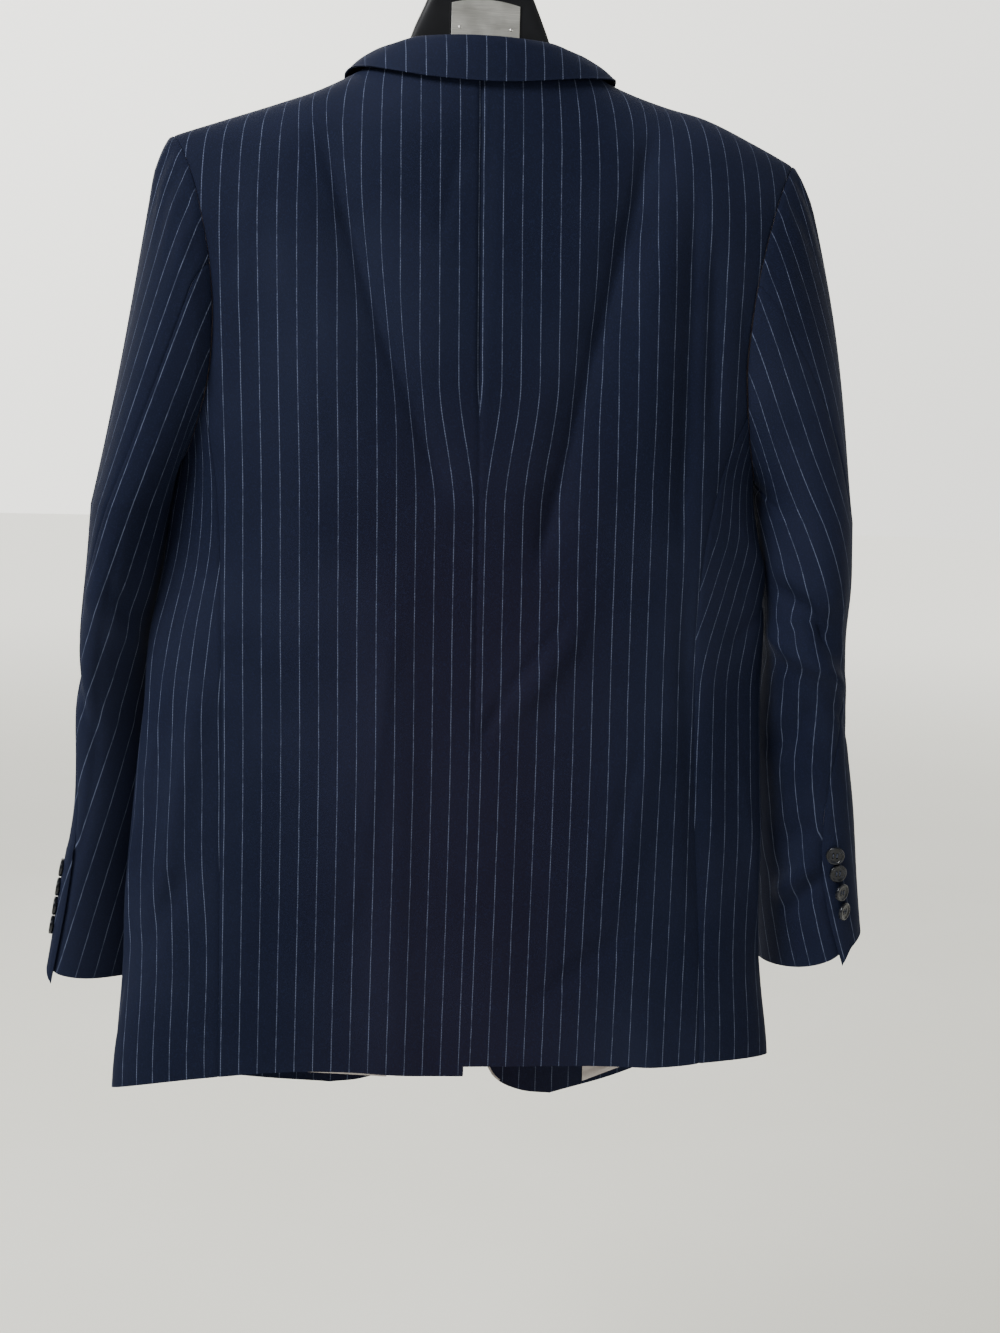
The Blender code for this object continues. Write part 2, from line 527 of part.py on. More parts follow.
def side_panel(side, material):
    """The panel under the arm, worked out in turning angle and height round the side."""
    z_back = side_heights(side, SIDE_SEAM_BACK[side], BACK_JOIN, SIDE_CELLS)
    back_edge = seam_points(SIDE_SEAM_BACK[side], z_back)
    back_edge[-1] = armhole_points(side, BACK_JOIN)
    z_front = front_side_heights(side)
    front_edge = seam_points(SIDE_SEAM_FRONT[side], z_front)
    front_edge[-1] = armhole_points(side, FRONT_JOIN)
    left = np.stack([x_to_turn(back_edge[:, 0], back_edge[:, 1], -1), back_edge[:, 1]], axis=-1)
    right = np.stack([x_to_turn(front_edge[:, 0], front_edge[:, 1], 1), front_edge[:, 1]], axis=-1)
    x, z, face = armhole(side, UNDER_ARMHOLE)
    top = np.stack([x_to_turn(x, z, face), z], axis=-1)
    turns = np.linspace(left[0, 0], right[0, 0], len(UNDER_ARMHOLE))
    share = np.linspace(0, 1, len(UNDER_ARMHOLE))
    hem_z = left[0, 1] + (right[0, 1] - left[0, 1]) * share ** 1.5
    if side < 0:
        hem_z = hem_z - 0.012 * np.sin(share * math.pi)
    bottom = np.stack([turns, hem_z], axis=-1)
    grid = patch(bottom, top, left, right)
    turn, z = grid[..., 0], grid[..., 1]
    x = turn_to_x(turn, z)
    face = np.where(np.cos(turn) > 0, -1, 1)
    outer = pull_in(body(x, z, face))
    inner = pull_in(body(x, z, face, -WALL))
    return grid_wall(f"side_panel_{NAME[side]}", outer, inner, material)


def front_side_heights(side):
    _, z_join, _ = armhole(side, FRONT_JOIN)
    return np.linspace(FRONT_HEM_SIDE_Z[side], float(z_join), SIDE_CELLS + 1)


def front_hem(side, cells):
    """The front hem from the side seam to the start of the rounded corner."""
    x_side = smooth(FRONT_HEM_SIDE_Z[side], column(SIDE_SEAM_FRONT[side], 0),
                    column(SIDE_SEAM_FRONT[side], 1))
    x_corner, z_corner = FRONT_EDGE[side][0]
    middle = ((x_side + x_corner) * 0.5, FRONT_HEM_SIDE_Z[side] * 0.40 + z_corner * 0.60)
    return curve([(x_side, FRONT_HEM_SIDE_Z[side]), middle, (x_corner, z_corner)], cells)


def tuck(x, z, side):
    """The wearer's right front lies under the left one: how far it is moved in."""
    if side < 0:
        return np.zeros(np.broadcast(x, z).shape)
    return -(WALL + LAP) * ease((0.060 - x) / 0.025) * ease((z + 0.985) / 0.03)


def forepart_grid(side):
    z_side = front_side_heights(side)
    outer_edge = seam_points(SIDE_SEAM_FRONT[side], z_side)
    outer_edge[-1] = armhole_points(side, FRONT_JOIN)
    outer_edge = np.vstack([outer_edge, armhole_points(side, FRONT_ARMHOLE[1:])])
    rows = len(outer_edge) - 1
    corner = curve(FRONT_EDGE[side][:5], CORNER_CELLS)
    straight = curve(FRONT_EDGE[side][4:], 8)[1:]
    roll = even(FRONT_EDGE[side][-1], ROLL_TOP[side], rows - CORNER_CELLS - 8 - 5)[1:]
    shares = np.array(FRONT_NECK_SHARES)[:, None]
    neck = np.array(GORGE[side]) * shares + np.array(NECK_SIDE[side]) * (1 - shares)
    inner_edge = np.vstack([corner, straight, roll, neck])
    shoulder_x = np.linspace(outer_edge[-1, 0], NECK_SIDE[side][0], SHOULDER_CELLS + 1)
    shoulder = np.stack([shoulder_x, shoulder_z(shoulder_x)], axis=-1)
    inner_edge[-1] = shoulder[-1]
    hem = front_hem(side, SHOULDER_CELLS)
    hem[0] = outer_edge[0]
    return patch(hem, shoulder, outer_edge, inner_edge)


def forepart(side, material):
    grid = forepart_grid(side)
    x, z = grid[..., 0], grid[..., 1]
    moved = tuck(x, z, side)
    outer = pull_in(body(x, z, 1, moved))
    inner = pull_in(body(x, z, 1, moved - WALL))
    return grid_wall(f"forepart_{NAME[side]}", outer, inner, material)


# ---- sleeves ----------------------------------------------------------------------------------
def sleeve_section(side, z, angle):
    """Point of the sleeve's oval section: its long axis turns inwards as the sleeve falls."""
    rows = SLEEVE_ROWS[side][::-1]
    outermost, thin, long, turned, middle_y = (smooth(z, column(rows, 0), column(rows, k))
                                               for k in range(1, 6))
    turned = np.radians(turned)
    reach = np.sqrt((thin * np.cos(turned)) ** 2 + (long * np.sin(turned)) ** 2)
    centre_x = outermost - side * reach
    out = thin * np.cos(angle)
    front = long * np.sin(angle)
    x = centre_x + side * np.cos(turned) * out - side * np.sin(turned) * front
    y = middle_y + np.sin(turned) * out + np.cos(turned) * front
    return np.stack(np.broadcast_arrays(x, y, z), axis=-1)


def hind_angle(side, z):
    rows = SLEEVE_ROWS[side][::-1]
    return smooth(z, column(rows, 0), column(rows, 6))


def under_share(start_angle):
    """0 over the top and sides of the armhole, 1 where the sleeve doubles back under the arm."""
    return ease((np.abs(start_angle) - 72.0) / 30.0)


def cuff_z(side, share):
    """Height of the cuff's hem: square to the arm, so it rises on a sleeve that slopes outwards."""
    angle = np.radians(hind_angle(side, CUFF_Z[side]) + share * 360.0)
    reach = np.abs(sleeve_section(side, CUFF_Z[side], angle)[..., 0]) - CUFF_LEVEL_X
    return CUFF_Z[side] + CUFF_RISE[side] * reach + CUFF_CURL[side] * np.maximum(reach, 0.0) ** 2


def sleeve_form(side, share, start_angle, fall):
    """The sleeve's outer form. share runs round the sleeve from the hind seam (0 to 1), fall is 0 at
    the armhole, 1 where the sleeve hangs free, and 2 at the cuff."""
    share, start_angle, fall = np.broadcast_arrays(share, start_angle, fall)
    x, z, face = armhole(side, start_angle)
    top = body(x, z, face, LAP * under_share(start_angle))
    z_low = HEAD_Z + (cuff_z(side, share) - HEAD_Z) * np.clip(fall - 1.0, 0.0, 1.0)
    angle = np.radians(hind_angle(side, z_low) + share * 360.0)
    low = sleeve_section(side, z_low, angle)
    blend = np.clip(fall, 0.0, 1.0)[..., None]
    points = top * (1 - blend) + low * blend
    lift = np.minimum(blend[..., 0] / 0.1, 1.0) ** 0.5 * (1 - blend[..., 0])
    outwards = (0.5 + 0.5 * np.cos(np.radians(start_angle))) ** 0.7
    sideways = 0.66 * np.sin(np.radians(start_angle))
    swell = UPPER_SWELL[side] * np.sin(math.pi * blend[..., 0])
    points[..., 0] += side * (HEAD_OUT[side] * lift + swell) * outwards
    points[..., 1] += HEAD_OUT[side] * lift * sideways
    return points


def sleeve_grid(side, starts, shares, falls):
    """Outer points and normals over a grid of seam angles and falls."""
    starts = np.asarray(starts, float)[None, :]
    shares = np.asarray(shares, float)[None, :]
    falls = np.asarray(falls, float)[:, None]
    points = sleeve_form(side, shares, starts, falls)
    step = 0.004
    turn = (sleeve_form(side, shares + step, starts + step * 360, falls)
            - sleeve_form(side, shares - step, starts - step * 360, falls))
    down = (sleeve_form(side, shares, starts, np.minimum(falls + step, 2.0))
            - sleeve_form(side, shares, starts, np.maximum(falls - step, 0.0)))
    normals = unit(np.cross(down, turn)) * side
    return points, normals


def sleeve_creases(side, share, z):
    """Soft folds of the sleeve, laid out over its angle round the arm and its height."""
    angle = hind_angle(side, z) + share * 360.0
    angle = np.where(angle > 180, angle - 360, angle)
    round_scale = 0.055 * math.pi / 180
    rows = [(a0 * round_scale, z0, a1 * round_scale, z1, width, height)
            for a0, z0, a1, z1, width, height in SLEEVE_FOLDS[side]]
    return folds(angle * round_scale, z, rows)


def sleeve_points(side, starts, falls):
    """Creased outer points and normals; the starts run on from the hind seam, over 180 too."""
    starts = np.asarray(starts, float)
    falls = np.asarray(falls, float)
    shares = (starts - HIND_SEAM_START) / 360.0
    wrapped = (starts + 180.0) % 360.0 - 180.0
    points, normals = sleeve_grid(side, wrapped, shares, falls)
    height = sleeve_creases(side, shares[None, :], points[..., 2])
    height = height * ease((falls - 0.8) / 0.4)[:, None] * ease((1.97 - falls) / 0.1)[:, None]
    return points + normals * height[..., None], normals


def ring_normals(side, ring):
    """Normals of the whole sleeve's cells. At the armhole they lean to the body's, so that the wall
    is mitred into the seam, except under the arm, where it doubles back."""
    turn = np.roll(ring, -1, axis=1) - np.roll(ring, 1, axis=1)
    normals = unit(np.cross(np.gradient(ring, axis=0), turn)) * side
    starts = np.r_[TOP_STARTS, UNDER_STARTS[1:-1]]
    wrapped = (starts + 180.0) % 360.0 - 180.0
    mitre = MITRE + (1 - MITRE) * under_share(wrapped)[:, None] ** MITRE_POWER
    normals[0] = unit(form(*armhole(side, wrapped))[1] * (1 - mitre) + normals[0] * mitre)
    return normals


def sleeve_panel(side, part, material):
    falls = np.r_[HEAD_STEPS, 1.0 + np.linspace(0, 1, ARM_CELLS + 1)[1:]]
    ring, _ = sleeve_points(side, np.r_[TOP_STARTS, UNDER_STARTS[1:-1]], falls)
    seam = len(TOP_STARTS) - 1
    order = np.arange(seam + 1) if part == "top" else np.r_[seam:ring.shape[1], 0]
    outer = ring[:, order]
    inner = outer - ring_normals(side, ring)[:, order] * WALL
    if part == "top":
        for grid in (outer, inner):
            down = unit(grid[-1] - grid[-2])
            grid[-1, 0] += down[0] * CUFF_POINT
            grid[-1, 1] += down[1] * CUFF_POINT * 0.3
    name = f"{part}_sleeve_{NAME[side]}"
    return grid_wall(name, pull_in(outer, "lrbb"), pull_in(inner, "lrbb"), material)


# ---- vent, facing and linings -----------------------------------------------------------------
def rectangle(x0, x1, z0, z1, cells_x, cells_z):
    """Grid of x, z; z0 and z1 may be pairs for the two sides."""
    low = np.broadcast_to(z0, 2)
    high = np.broadcast_to(z1, 2)
    share = np.linspace(0, 1, cells_x + 1)
    x = x0 + (x1 - x0) * share
    bottom = np.stack([x, low[0] + (low[1] - low[0]) * share], axis=-1)
    top = np.stack([x, high[0] + (high[1] - high[0]) * share], axis=-1)
    return patch(bottom, top, even(bottom[0], top[0], cells_z), even(bottom[-1], top[-1], cells_z))


def vent_underlap(material):
    """The strip that the right back carries under the left one below the vent's top."""
    grid = rectangle(*UNDERLAP_X, BACK_HEM_Z[1] + 0.002, VENT_TOP_Z + 0.008, 3, 8)
    panel("vent_underlap", grid, -1, material, out=-WALL - LAP)


def forepart_lining(side, name, grid, material):
    """A thin wall just inside a front."""
    x, z = grid[..., 0], grid[..., 1]
    inside = tuck(x, z, side) - WALL - LAP
    outer = pull_in(body(x, z, 1, inside))
    inner = pull_in(body(x, z, 1, inside - LINING_WALL))
    return grid_wall(name, outer, inner, material)


def hem_z_at(side, x):
    hem = front_hem(side, 24)
    order = np.argsort(hem[:, 0])
    return np.interp(x, hem[order, 0], hem[order, 1])


def facing_right(material):
    """The facing behind the right front's rounded corner, inside its edge by a millimetre."""
    inset = 0.0015
    corner = curve(FRONT_EDGE[1][:5], CORNER_CELLS)
    straight = even(FRONT_EDGE[1][4], (0.0215, LINING_TOP_Z), 3)[1:]
    edge = np.vstack([corner, straight]) + np.array([inset, inset])
    inner_x = FACING_X
    inner = even((inner_x, hem_z_at(1, inner_x) + inset), (inner_x, LINING_TOP_Z), CORNER_CELLS + 3)
    bottom = even(inner[0], edge[0], 3)
    top = even(inner[-1], edge[-1], 3)
    forepart_lining(1, "facing_right", patch(bottom, top, inner, edge), material)


def linings(material):
    for side, x0, x1 in ((-1, -0.1990, -0.0520), (1, FACING_X + 0.0005, 0.1960)):
        low = [float(hem_z_at(side, x)) + HEM_TURN for x in (x0, x1)]
        if side < 0:
            low[1] = FRONT_EDGE[-1][0][1] + HEM_TURN
        grid = rectangle(x0, x1, low, LINING_TOP_Z, 6, 3)
        forepart_lining(side, f"lining_{NAME[side]}", grid, material)


# ---- lapels and collar ------------------------------------------------------------------------
def lapel(side, material):
    """The turned-back front, laid on its forepart and standing off it along the roll line."""
    low_z, edge, notch = LAPEL[side]
    top = np.array(ROLL_TOP[side])
    start = np.array(FRONT_EDGE[side][-1])
    low = start + (top - start) * (low_z - start[1]) / (top[1] - start[1])
    roll = even(low, top, LAPEL_ROWS)
    outer = curve(edge, LAPEL_ROWS)
    gorge = np.vstack([even(top, notch, 3), even(notch, outer[-1], LAPEL_COLS - 3)[1:]])
    grid = patch(even(low, outer[0], LAPEL_COLS), gorge, roll, outer)
    x, z = grid[..., 0], grid[..., 1]
    away = np.linspace(0, 1, LAPEL_COLS + 1)
    out = tuck(x, z, side) + WALL + LAP + ROLL * (1 - away) ** 2 * ease((z - low_z) / 0.10)
    outer = pull_in(body(x, z, 1, out))
    inner = pull_in(body(x, z, 1, out - WALL))
    grid_wall(f"lapel_{NAME[side]}", outer, inner, material)


def neck_place(side, share):
    """x, z and face of the panels' neck edge."""
    if share <= 1:
        x = NECK_SIDE[side][0] * share
        return x, float(min(neck_z(x), shoulder_z(x))), -1
    x, z = np.array(NECK_SIDE[side]) * (2 - share) + np.array(GORGE[side]) * (share - 1)
    return x, float(min(z, shoulder_z(x))), 1


def collar_section(side, row, base, tangent):
    """Outer points from the neck seam over the fold to the edge, and the normals along them."""
    share, x, z_left, z_right, face, rise, off, radius = row
    x = side * x * COLLAR_WIDTH[side]
    z = float(min(z_left if side < 0 else z_right, shoulder_z(x)))
    edge = body(x, z, face, WALL + FALL_OFF)
    across = form(*neck_place(side, share))[1]
    across = unit(across - tangent * np.dot(across, tangent))
    up = np.cross(across, tangent)
    base = base + up * SEAM_GAP * 2
    middle = base + up * (rise - radius) + across * off
    points = [base, base * 0.5 + (middle - across * radius) * 0.5]
    for angle in np.radians(FOLD_ANGLES):
        points.append(middle + radius * (across * math.cos(angle) + up * math.sin(angle)))
    fall = even(points[-1], edge, 3)[1:]
    if share < COLLAR[-1][0]:
        fall[:2] += unit(across + form(x, z, face)[1]) * FALL_BULGE
    else:
        notch = np.array(LAPEL[side][2]) + (0.0, GORGE_GAP)
        for k, (x, z) in enumerate((np.array(ROLL_TOP[side]) * 0.5 + notch * 0.5, notch)):
            fall[k] = body(x, z, 1, WALL + FALL_OFF)
    points = np.vstack([points, fall])
    return points, unit(np.cross(tangent, unit(np.gradient(points, axis=0))))


def collar(material):
    """Stand and fall in one wall, row by row from the left gorge round the back to the right."""
    rows = [(-1, row) for row in COLLAR[:0:-1]] + [(1, row) for row in COLLAR]
    seam = np.array([body(*neck_place(side, row[0]), -WALL) for side, row in rows])
    tangents = unit(np.gradient(seam, axis=0))
    sections = [collar_section(side, row, base, tangent)
                for (side, row), base, tangent in zip(rows, seam, tangents)]
    outer = np.array([points for points, _ in sections])
    normals = np.array([normal for _, normal in sections])
    grid_wall("collar", outer, outer - normals * WALL, material)


# ---- buttons ----------------------------------------------------------------------------------
def button(name, centre, normal, radius, material):
    """A turned button whose back stands a seam gap off its cloth."""
    normal = unit(np.asarray(normal, float))
    side_way = unit(np.cross(normal, (0.0, 0.0, 1.0)))
    up = np.cross(side_way, normal)
    angles = np.linspace(0, 2 * math.pi, BUTTON_SIDES, endpoint=False)
    ring = np.cos(angles)[:, None] * side_way + np.sin(angles)[:, None] * up
    points = [centre + normal * BUTTON_PROFILE[0][1] * BUTTON_THICK]
    faces = []
    for share, height in BUTTON_PROFILE[1:-1]:
        points += list(centre + ring * radius * share + normal * height * BUTTON_THICK)
    points.append(centre + normal * BUTTON_PROFILE[-1][1] * BUTTON_THICK)
    last = len(points) - 1
    for k in range(BUTTON_SIDES):
        n = (k + 1) % BUTTON_SIDES
        faces.append((0, 1 + n, 1 + k))
        for r in range(len(BUTTON_PROFILE) - 3):
            a = 1 + r * BUTTON_SIDES
            faces.append((a + k, a + n, a + BUTTON_SIDES + n, a + BUTTON_SIDES + k))
        a = 1 + (len(BUTTON_PROFILE) - 3) * BUTTON_SIDES
        faces.append((a + k, a + n, last))
    mesh_object(name, points, faces, material)


def cuff_buttons(material):
    for side in (-1, 1):
        for count, (z, share, turned, rise) in enumerate(CUFF_BUTTONS[side], start=1):
            fall = 1.0 + (z - HEAD_Z) / (CUFF_Z[side] - HEAD_Z)
            points, normals = sleeve_points(side, [HIND_SEAM_START + share * 360.0], [fall])
            normal = normals[0, 0]
            turn = math.radians(turned)
            tilted = np.array([normal[0] * math.cos(turn) - normal[1] * math.sin(turn),
                               normal[0] * math.sin(turn) + normal[1] * math.cos(turn), normal[2]])
            button(f"cuff_button_{NAME[side]}_{count}", points[0, 0] + normal * rise, tilted,
                   BUTTON_RADIUS, material)


def front_buttons(material):
    for count, (x, z) in enumerate(FRONT_BUTTONS, start=1):
        points, normals = form(x, z, 1)
        button(f"front_button_{count}", points + normals * BUTTON_OFF, normals, FRONT_BUTTON_RADIUS,
               material)


# ---- hanger -----------------------------------------------------------------------------------
def hanger_rows():
    """x, top, underside, half thickness and squareness of each section, from end to end."""
    rows = []
    for start, end in ((ARM_ENDS[0], ARM_STARTS[0]), (ARM_STARTS[1], ARM_ENDS[1])):
        for x in np.linspace(start, end, ARM_STEPS):
            reach = (abs(x) - ARM_STARTS[1]) / (ARM_ENDS[1] - ARM_STARTS[1])
            top = float(shoulder_z(x)) - WALL - REST_GAP - ARM_DROP * max(reach, 0.0) ** 2
            rows.append((x, top, top - 0.034 - 0.006 * reach,
                         NECK_HALF + (ARM_HALF - NECK_HALF) * max(reach, 0.0), 1.0))
    rows += [(x, top, low, NECK_HALF, 0.45) for x, top, low in HANGER_NECK]
    return sorted(rows)


def hanger_frame(material):
    """A bar lofted through rounded sections, closed with a smaller cap at each end."""
    angles = np.linspace(0, 2 * math.pi, HANGER_SIDES, endpoint=False)
    sections = []
    for x, top, low, half, square in hanger_rows():
        y = half * np.sign(np.cos(angles)) * np.abs(np.cos(angles)) ** square
        z = (top + low) / 2 + (top - low) / 2 * np.sign(np.sin(angles)) * np.abs(np.sin(angles)) ** square
        sections.append(np.stack([np.full_like(y, x), y, z], axis=-1))
    for end, step in ((0, -0.004), (-1, 0.004)):
        middle = sections[end].mean(axis=0)
        cap = middle + (sections[end] - middle) * 0.6 + np.array([step, 0, 0])
        sections.insert(0 if end == 0 else len(sections), cap)
    faces = []
    for start in range(0, (len(sections) - 1) * HANGER_SIDES, HANGER_SIDES):
        for k in range(HANGER_SIDES):
            n = (k + 1) % HANGER_SIDES
            faces.append((start + k, start + n, start + HANGER_SIDES + n, start + HANGER_SIDES + k))
    last = (len(sections) - 1) * HANGER_SIDES
    faces.append(tuple(range(HANGER_SIDES))[::-1])
    faces.append(tuple(range(last, last + HANGER_SIDES)))
    mesh_object("hanger_frame", np.concatenate(sections), faces, material)


def hanger_plate(material):
    """A bare plate with an arched top on the back of the neck."""
    x0, x1, z0, z1 = PLATE
    xs = np.linspace(x0, x1, 9)
    arch = z1 + PLATE_ARCH * (1 - ((xs - (x0 + x1) / 2) / ((x1 - x0) / 2)) ** 2)
    outline = [(x0, z0), (x1, z0)] + list(zip(xs[::-1], arch[::-1]))
    y = -NECK_HALF - SEAM_GAP
    count = len(outline)
    points = [(x, y, z) for x, z in outline] + [(x, y - PLATE_THICK, z) for x, z in outline]
    faces = [tuple(range(count)), tuple(range(count, 2 * count))[::-1]]
    faces += [(k, k + count, (k + 1) % count + count, (k + 1) % count) for k in range(count)]
    mesh_object("hanger_plate", points, faces, material)


def hanger_hook(material):
    """Round wire: a short shank, then an arc over the rod, open at the lower left."""
    middle_z = WIRE_RADIUS - HOOK_RADIUS
    arc = [(HOOK_RADIUS * math.cos(a), middle_z + HOOK_RADIUS * math.sin(a))
           for a in np.radians(np.linspace(HOOK_FROM, HOOK_TO, 26))]
    foot_z = HANGER_NECK[len(HANGER_NECK) // 2][1] + SEAM_GAP
    bend = ((0.0010, foot_z), (0.0010, -0.0535), (0.0016, -0.0508), (0.0033, -0.0478), (0.0062, -0.0448))
    shank = [tuple(point) for point in curve(bend, 6)[:-1]] + [bend[-1]]
    line = bpy.data.curves.new("hanger_hook", "CURVE")
    line.dimensions = "3D"
    line.bevel_depth = WIRE_RADIUS
    line.bevel_resolution = 2
    line.use_fill_caps = True
    spline = line.splines.new("POLY")
    route = shank + arc
    spline.points.add(len(route) - 1)
    for point, (x, z) in zip(spline.points, route):
        point.co = (x, 0.0, z, 1.0)
    line.materials.append(material)
    hook = bpy.data.objects.new("hanger_hook", line)
    bpy.context.scene.collection.objects.link(hook)


# ---- build ------------------------------------------------------------------------------------
def build():
    for old in list(bpy.data.objects):
        bpy.data.objects.remove(old, do_unlink=True)
    cloth = make_material("worsted_wool", (0.012, 0.015, 0.045), 0.8)
    satin = make_material("lining_satin", (0.32, 0.28, 0.27), 0.45)
    horn = make_material("button_resin", (0.015, 0.015, 0.020), 0.3)
    black = make_material("black_plastic", (0.012, 0.012, 0.015), 0.45)
    metal = make_material("brushed_metal", (0.62, 0.62, 0.62), 0.35, 1.0)
    plated = make_material("plated_wire", (0.75, 0.75, 0.76), 0.12, 1.0)
    for side in (-1, 1):
        back_panel(side, cloth)
        side_panel(side, cloth)
        forepart(side, cloth)
        sleeve_panel(side, "top", cloth)
        sleeve_panel(side, "under", cloth)
        lapel(side, cloth)
    vent_underlap(cloth)
    facing_right(cloth)
    linings(satin)
    collar(cloth)
    cuff_buttons(horn)
    front_buttons(horn)
    hanger_frame(black)
    hanger_plate(metal)
    hanger_hook(plated)


build()
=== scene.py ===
"""Dresses the pin-striped suit jacket and its hanger for rendering.

The hard CAD nodes keep their place and get their finish here. Every cloth piece is laid again as a
thin, finely creased wall on the same garment form, with its stripes drawn in the flat cut's own
millimetres. Metres, +Z up; the back of the jacket faces -Y and the wearer's left is -X.
"""

import math

import bpy
import numpy as np
from mathutils import Matrix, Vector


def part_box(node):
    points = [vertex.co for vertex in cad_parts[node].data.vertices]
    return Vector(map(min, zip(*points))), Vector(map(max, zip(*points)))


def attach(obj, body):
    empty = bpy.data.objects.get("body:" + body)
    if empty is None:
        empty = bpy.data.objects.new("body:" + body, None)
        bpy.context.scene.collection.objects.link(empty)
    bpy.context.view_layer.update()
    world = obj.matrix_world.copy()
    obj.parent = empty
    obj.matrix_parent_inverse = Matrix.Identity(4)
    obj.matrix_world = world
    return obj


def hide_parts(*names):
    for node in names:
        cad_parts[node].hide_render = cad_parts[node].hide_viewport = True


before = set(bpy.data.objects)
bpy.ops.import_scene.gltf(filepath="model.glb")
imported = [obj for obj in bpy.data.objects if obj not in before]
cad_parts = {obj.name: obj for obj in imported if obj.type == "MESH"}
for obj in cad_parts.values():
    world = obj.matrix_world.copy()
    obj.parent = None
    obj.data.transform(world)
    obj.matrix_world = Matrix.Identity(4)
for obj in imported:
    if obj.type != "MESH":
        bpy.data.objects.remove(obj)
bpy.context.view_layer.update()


# ---- The room ----------------------------------------------------------------------------------
# A jacket hung in plain daylight: a pale floor far below it, painted paler and with a painted glow further
# out, bright surroundings that are lightest behind it and fall off to the right, and three soft windows,
# the strongest to the upper left.
EYE = np.array([-0.128, -1.200, -0.4358])
YAW, PITCH, ROLL_ANGLE = np.radians([7.5, -7.0, 1.6])
LENS_MM = 40.95

forward = np.array([math.sin(YAW) * math.cos(PITCH), math.cos(YAW) * math.cos(PITCH), math.sin(PITCH)])
level = np.array([math.cos(YAW), -math.sin(YAW), 0.0])
upright = np.cross(level, forward)
right_way = math.cos(ROLL_ANGLE) * level + math.sin(ROLL_ANGLE) * upright
up_way = -math.sin(ROLL_ANGLE) * level + math.cos(ROLL_ANGLE) * upright
camera = bpy.data.objects.new("camera", bpy.data.cameras.new("camera"))
bpy.context.scene.collection.objects.link(camera)
pose = np.eye(4)
pose[:3, 0], pose[:3, 1], pose[:3, 2], pose[:3, 3] = right_way, up_way, -forward, EYE
camera.matrix_world = Matrix(pose.tolist())
camera.data.lens = LENS_MM
camera.data.sensor_width = 36.0
camera.data.sensor_fit = "AUTO"
camera.data.clip_start = 0.01
camera.data.clip_end = 100.0
bpy.context.scene.camera = camera


def colour(code):
    """Linear colour of an sRGB code such as "1a2030": each channel c is ((c + 0.055) / 1.055)^2.4."""
    channels = np.array([int(code[k:k + 2], 16) for k in (0, 2, 4)]) / 255.0
    linear = np.where(channels <= 0.04045, channels / 12.92, ((channels + 0.055) / 1.055) ** 2.4)
    return (*linear.tolist(), 1.0)


def fill(tree, node, values):
    """Fills or links a node's inputs, each by its name or its place."""
    for name, value in values.items():
        if isinstance(value, bpy.types.NodeSocket):
            tree.links.new(value, node.inputs[name])
        else:
            node.inputs[name].default_value = value


def add(tree, kind, *values, output=0, **settings):
    """Adds one node, sets its properties, fills its inputs from values in order, or from one
    dictionary, and returns an output socket."""
    made = tree.nodes.new("ShaderNode" + kind)
    for name, value in settings.items():
        setattr(made, name, value)
    fill(tree, made, values[0] if values and isinstance(values[0], dict) else dict(enumerate(values)))
    return made.outputs[output]


# settings of a smooth step from one value to another, and of a mix of two colours
STEP = {"interpolation_type": "SMOOTHSTEP"}
COLOURS = {"data_type": "RGBA", "output": 2}
IN_PLACE = {"output": 3}     # the object's own coordinates


def new_material(name):
    """An empty material: its node tree and its Principled shader."""
    made = bpy.data.materials.new(name)
    made.use_nodes = True
    return made, made.node_tree, made.node_tree.nodes["Principled BSDF"]


def shell(name, points, faces, materials, sharp=None, slots=None):
    """Adds a mesh object; with an angle, it is smooth but for the edges sharper than that."""
    mesh = bpy.data.meshes.new(name)
    mesh.from_pydata(np.asarray(points).tolist(), [], faces)
    for material in materials:
        mesh.materials.append(material)
    if slots is not None:
        mesh.polygons.foreach_set("material_index", slots)
    if sharp is not None:
        mesh.shade_smooth()
        mesh.set_sharp_from_angle(angle=math.radians(sharp))
    made = bpy.data.objects.new(name, mesh)
    bpy.context.scene.collection.objects.link(made)
    return made


def circle(count):
    """Angles of a full turn, the first at 0."""
    return np.linspace(0, 2 * math.pi, count, endpoint=False)


FLOOR_Z = -1.62
FLOOR_RADIUS = 40.0
FLOOR_CORNERS = 96
floor_painted_glow, tree, shader = new_material("floor_painted_glow")
place = add(tree, "TexCoord", **IN_PLACE)
mottle = add(tree, "TexNoise", {"Vector": place, "Scale": 2.0, "Detail": 4.0})
apart = add(tree, "VectorMath", place, operation="LENGTH", output=1)
patches = add(tree, "MapRange", mottle, 0.35, 0.65, **STEP)
near = add(tree, "Mix", {0: patches, 6: colour("dad9d0"), 7: colour("dddcd4")}, **COLOURS)
# painted light: further out the floor is painted paler, up to f2f1ea, and glows more, its emission rising
# from 0.10 to 0.95
painted_far_light = add(tree, "MapRange", apart, 2.0, 14.0, **STEP)
fill(tree, shader, {
    "Base Color": add(tree, "Mix", {0: painted_far_light, 6: near, 7: colour("f2f1ea")}, **COLOURS),
    "Roughness": 0.9,
    "Emission Color": colour("f2f1ea"),
    "Emission Strength": add(tree, "MapRange", apart, 1.0, 12.0, 0.10, 0.95, **STEP)})
angles = circle(FLOOR_CORNERS)
rim = np.stack([FLOOR_RADIUS * np.cos(angles), FLOOR_RADIUS * np.sin(angles),
                np.full(FLOOR_CORNERS, FLOOR_Z)], axis=-1)
floor = shell("floor", rim, [list(range(FLOOR_CORNERS))], (floor_painted_glow,))

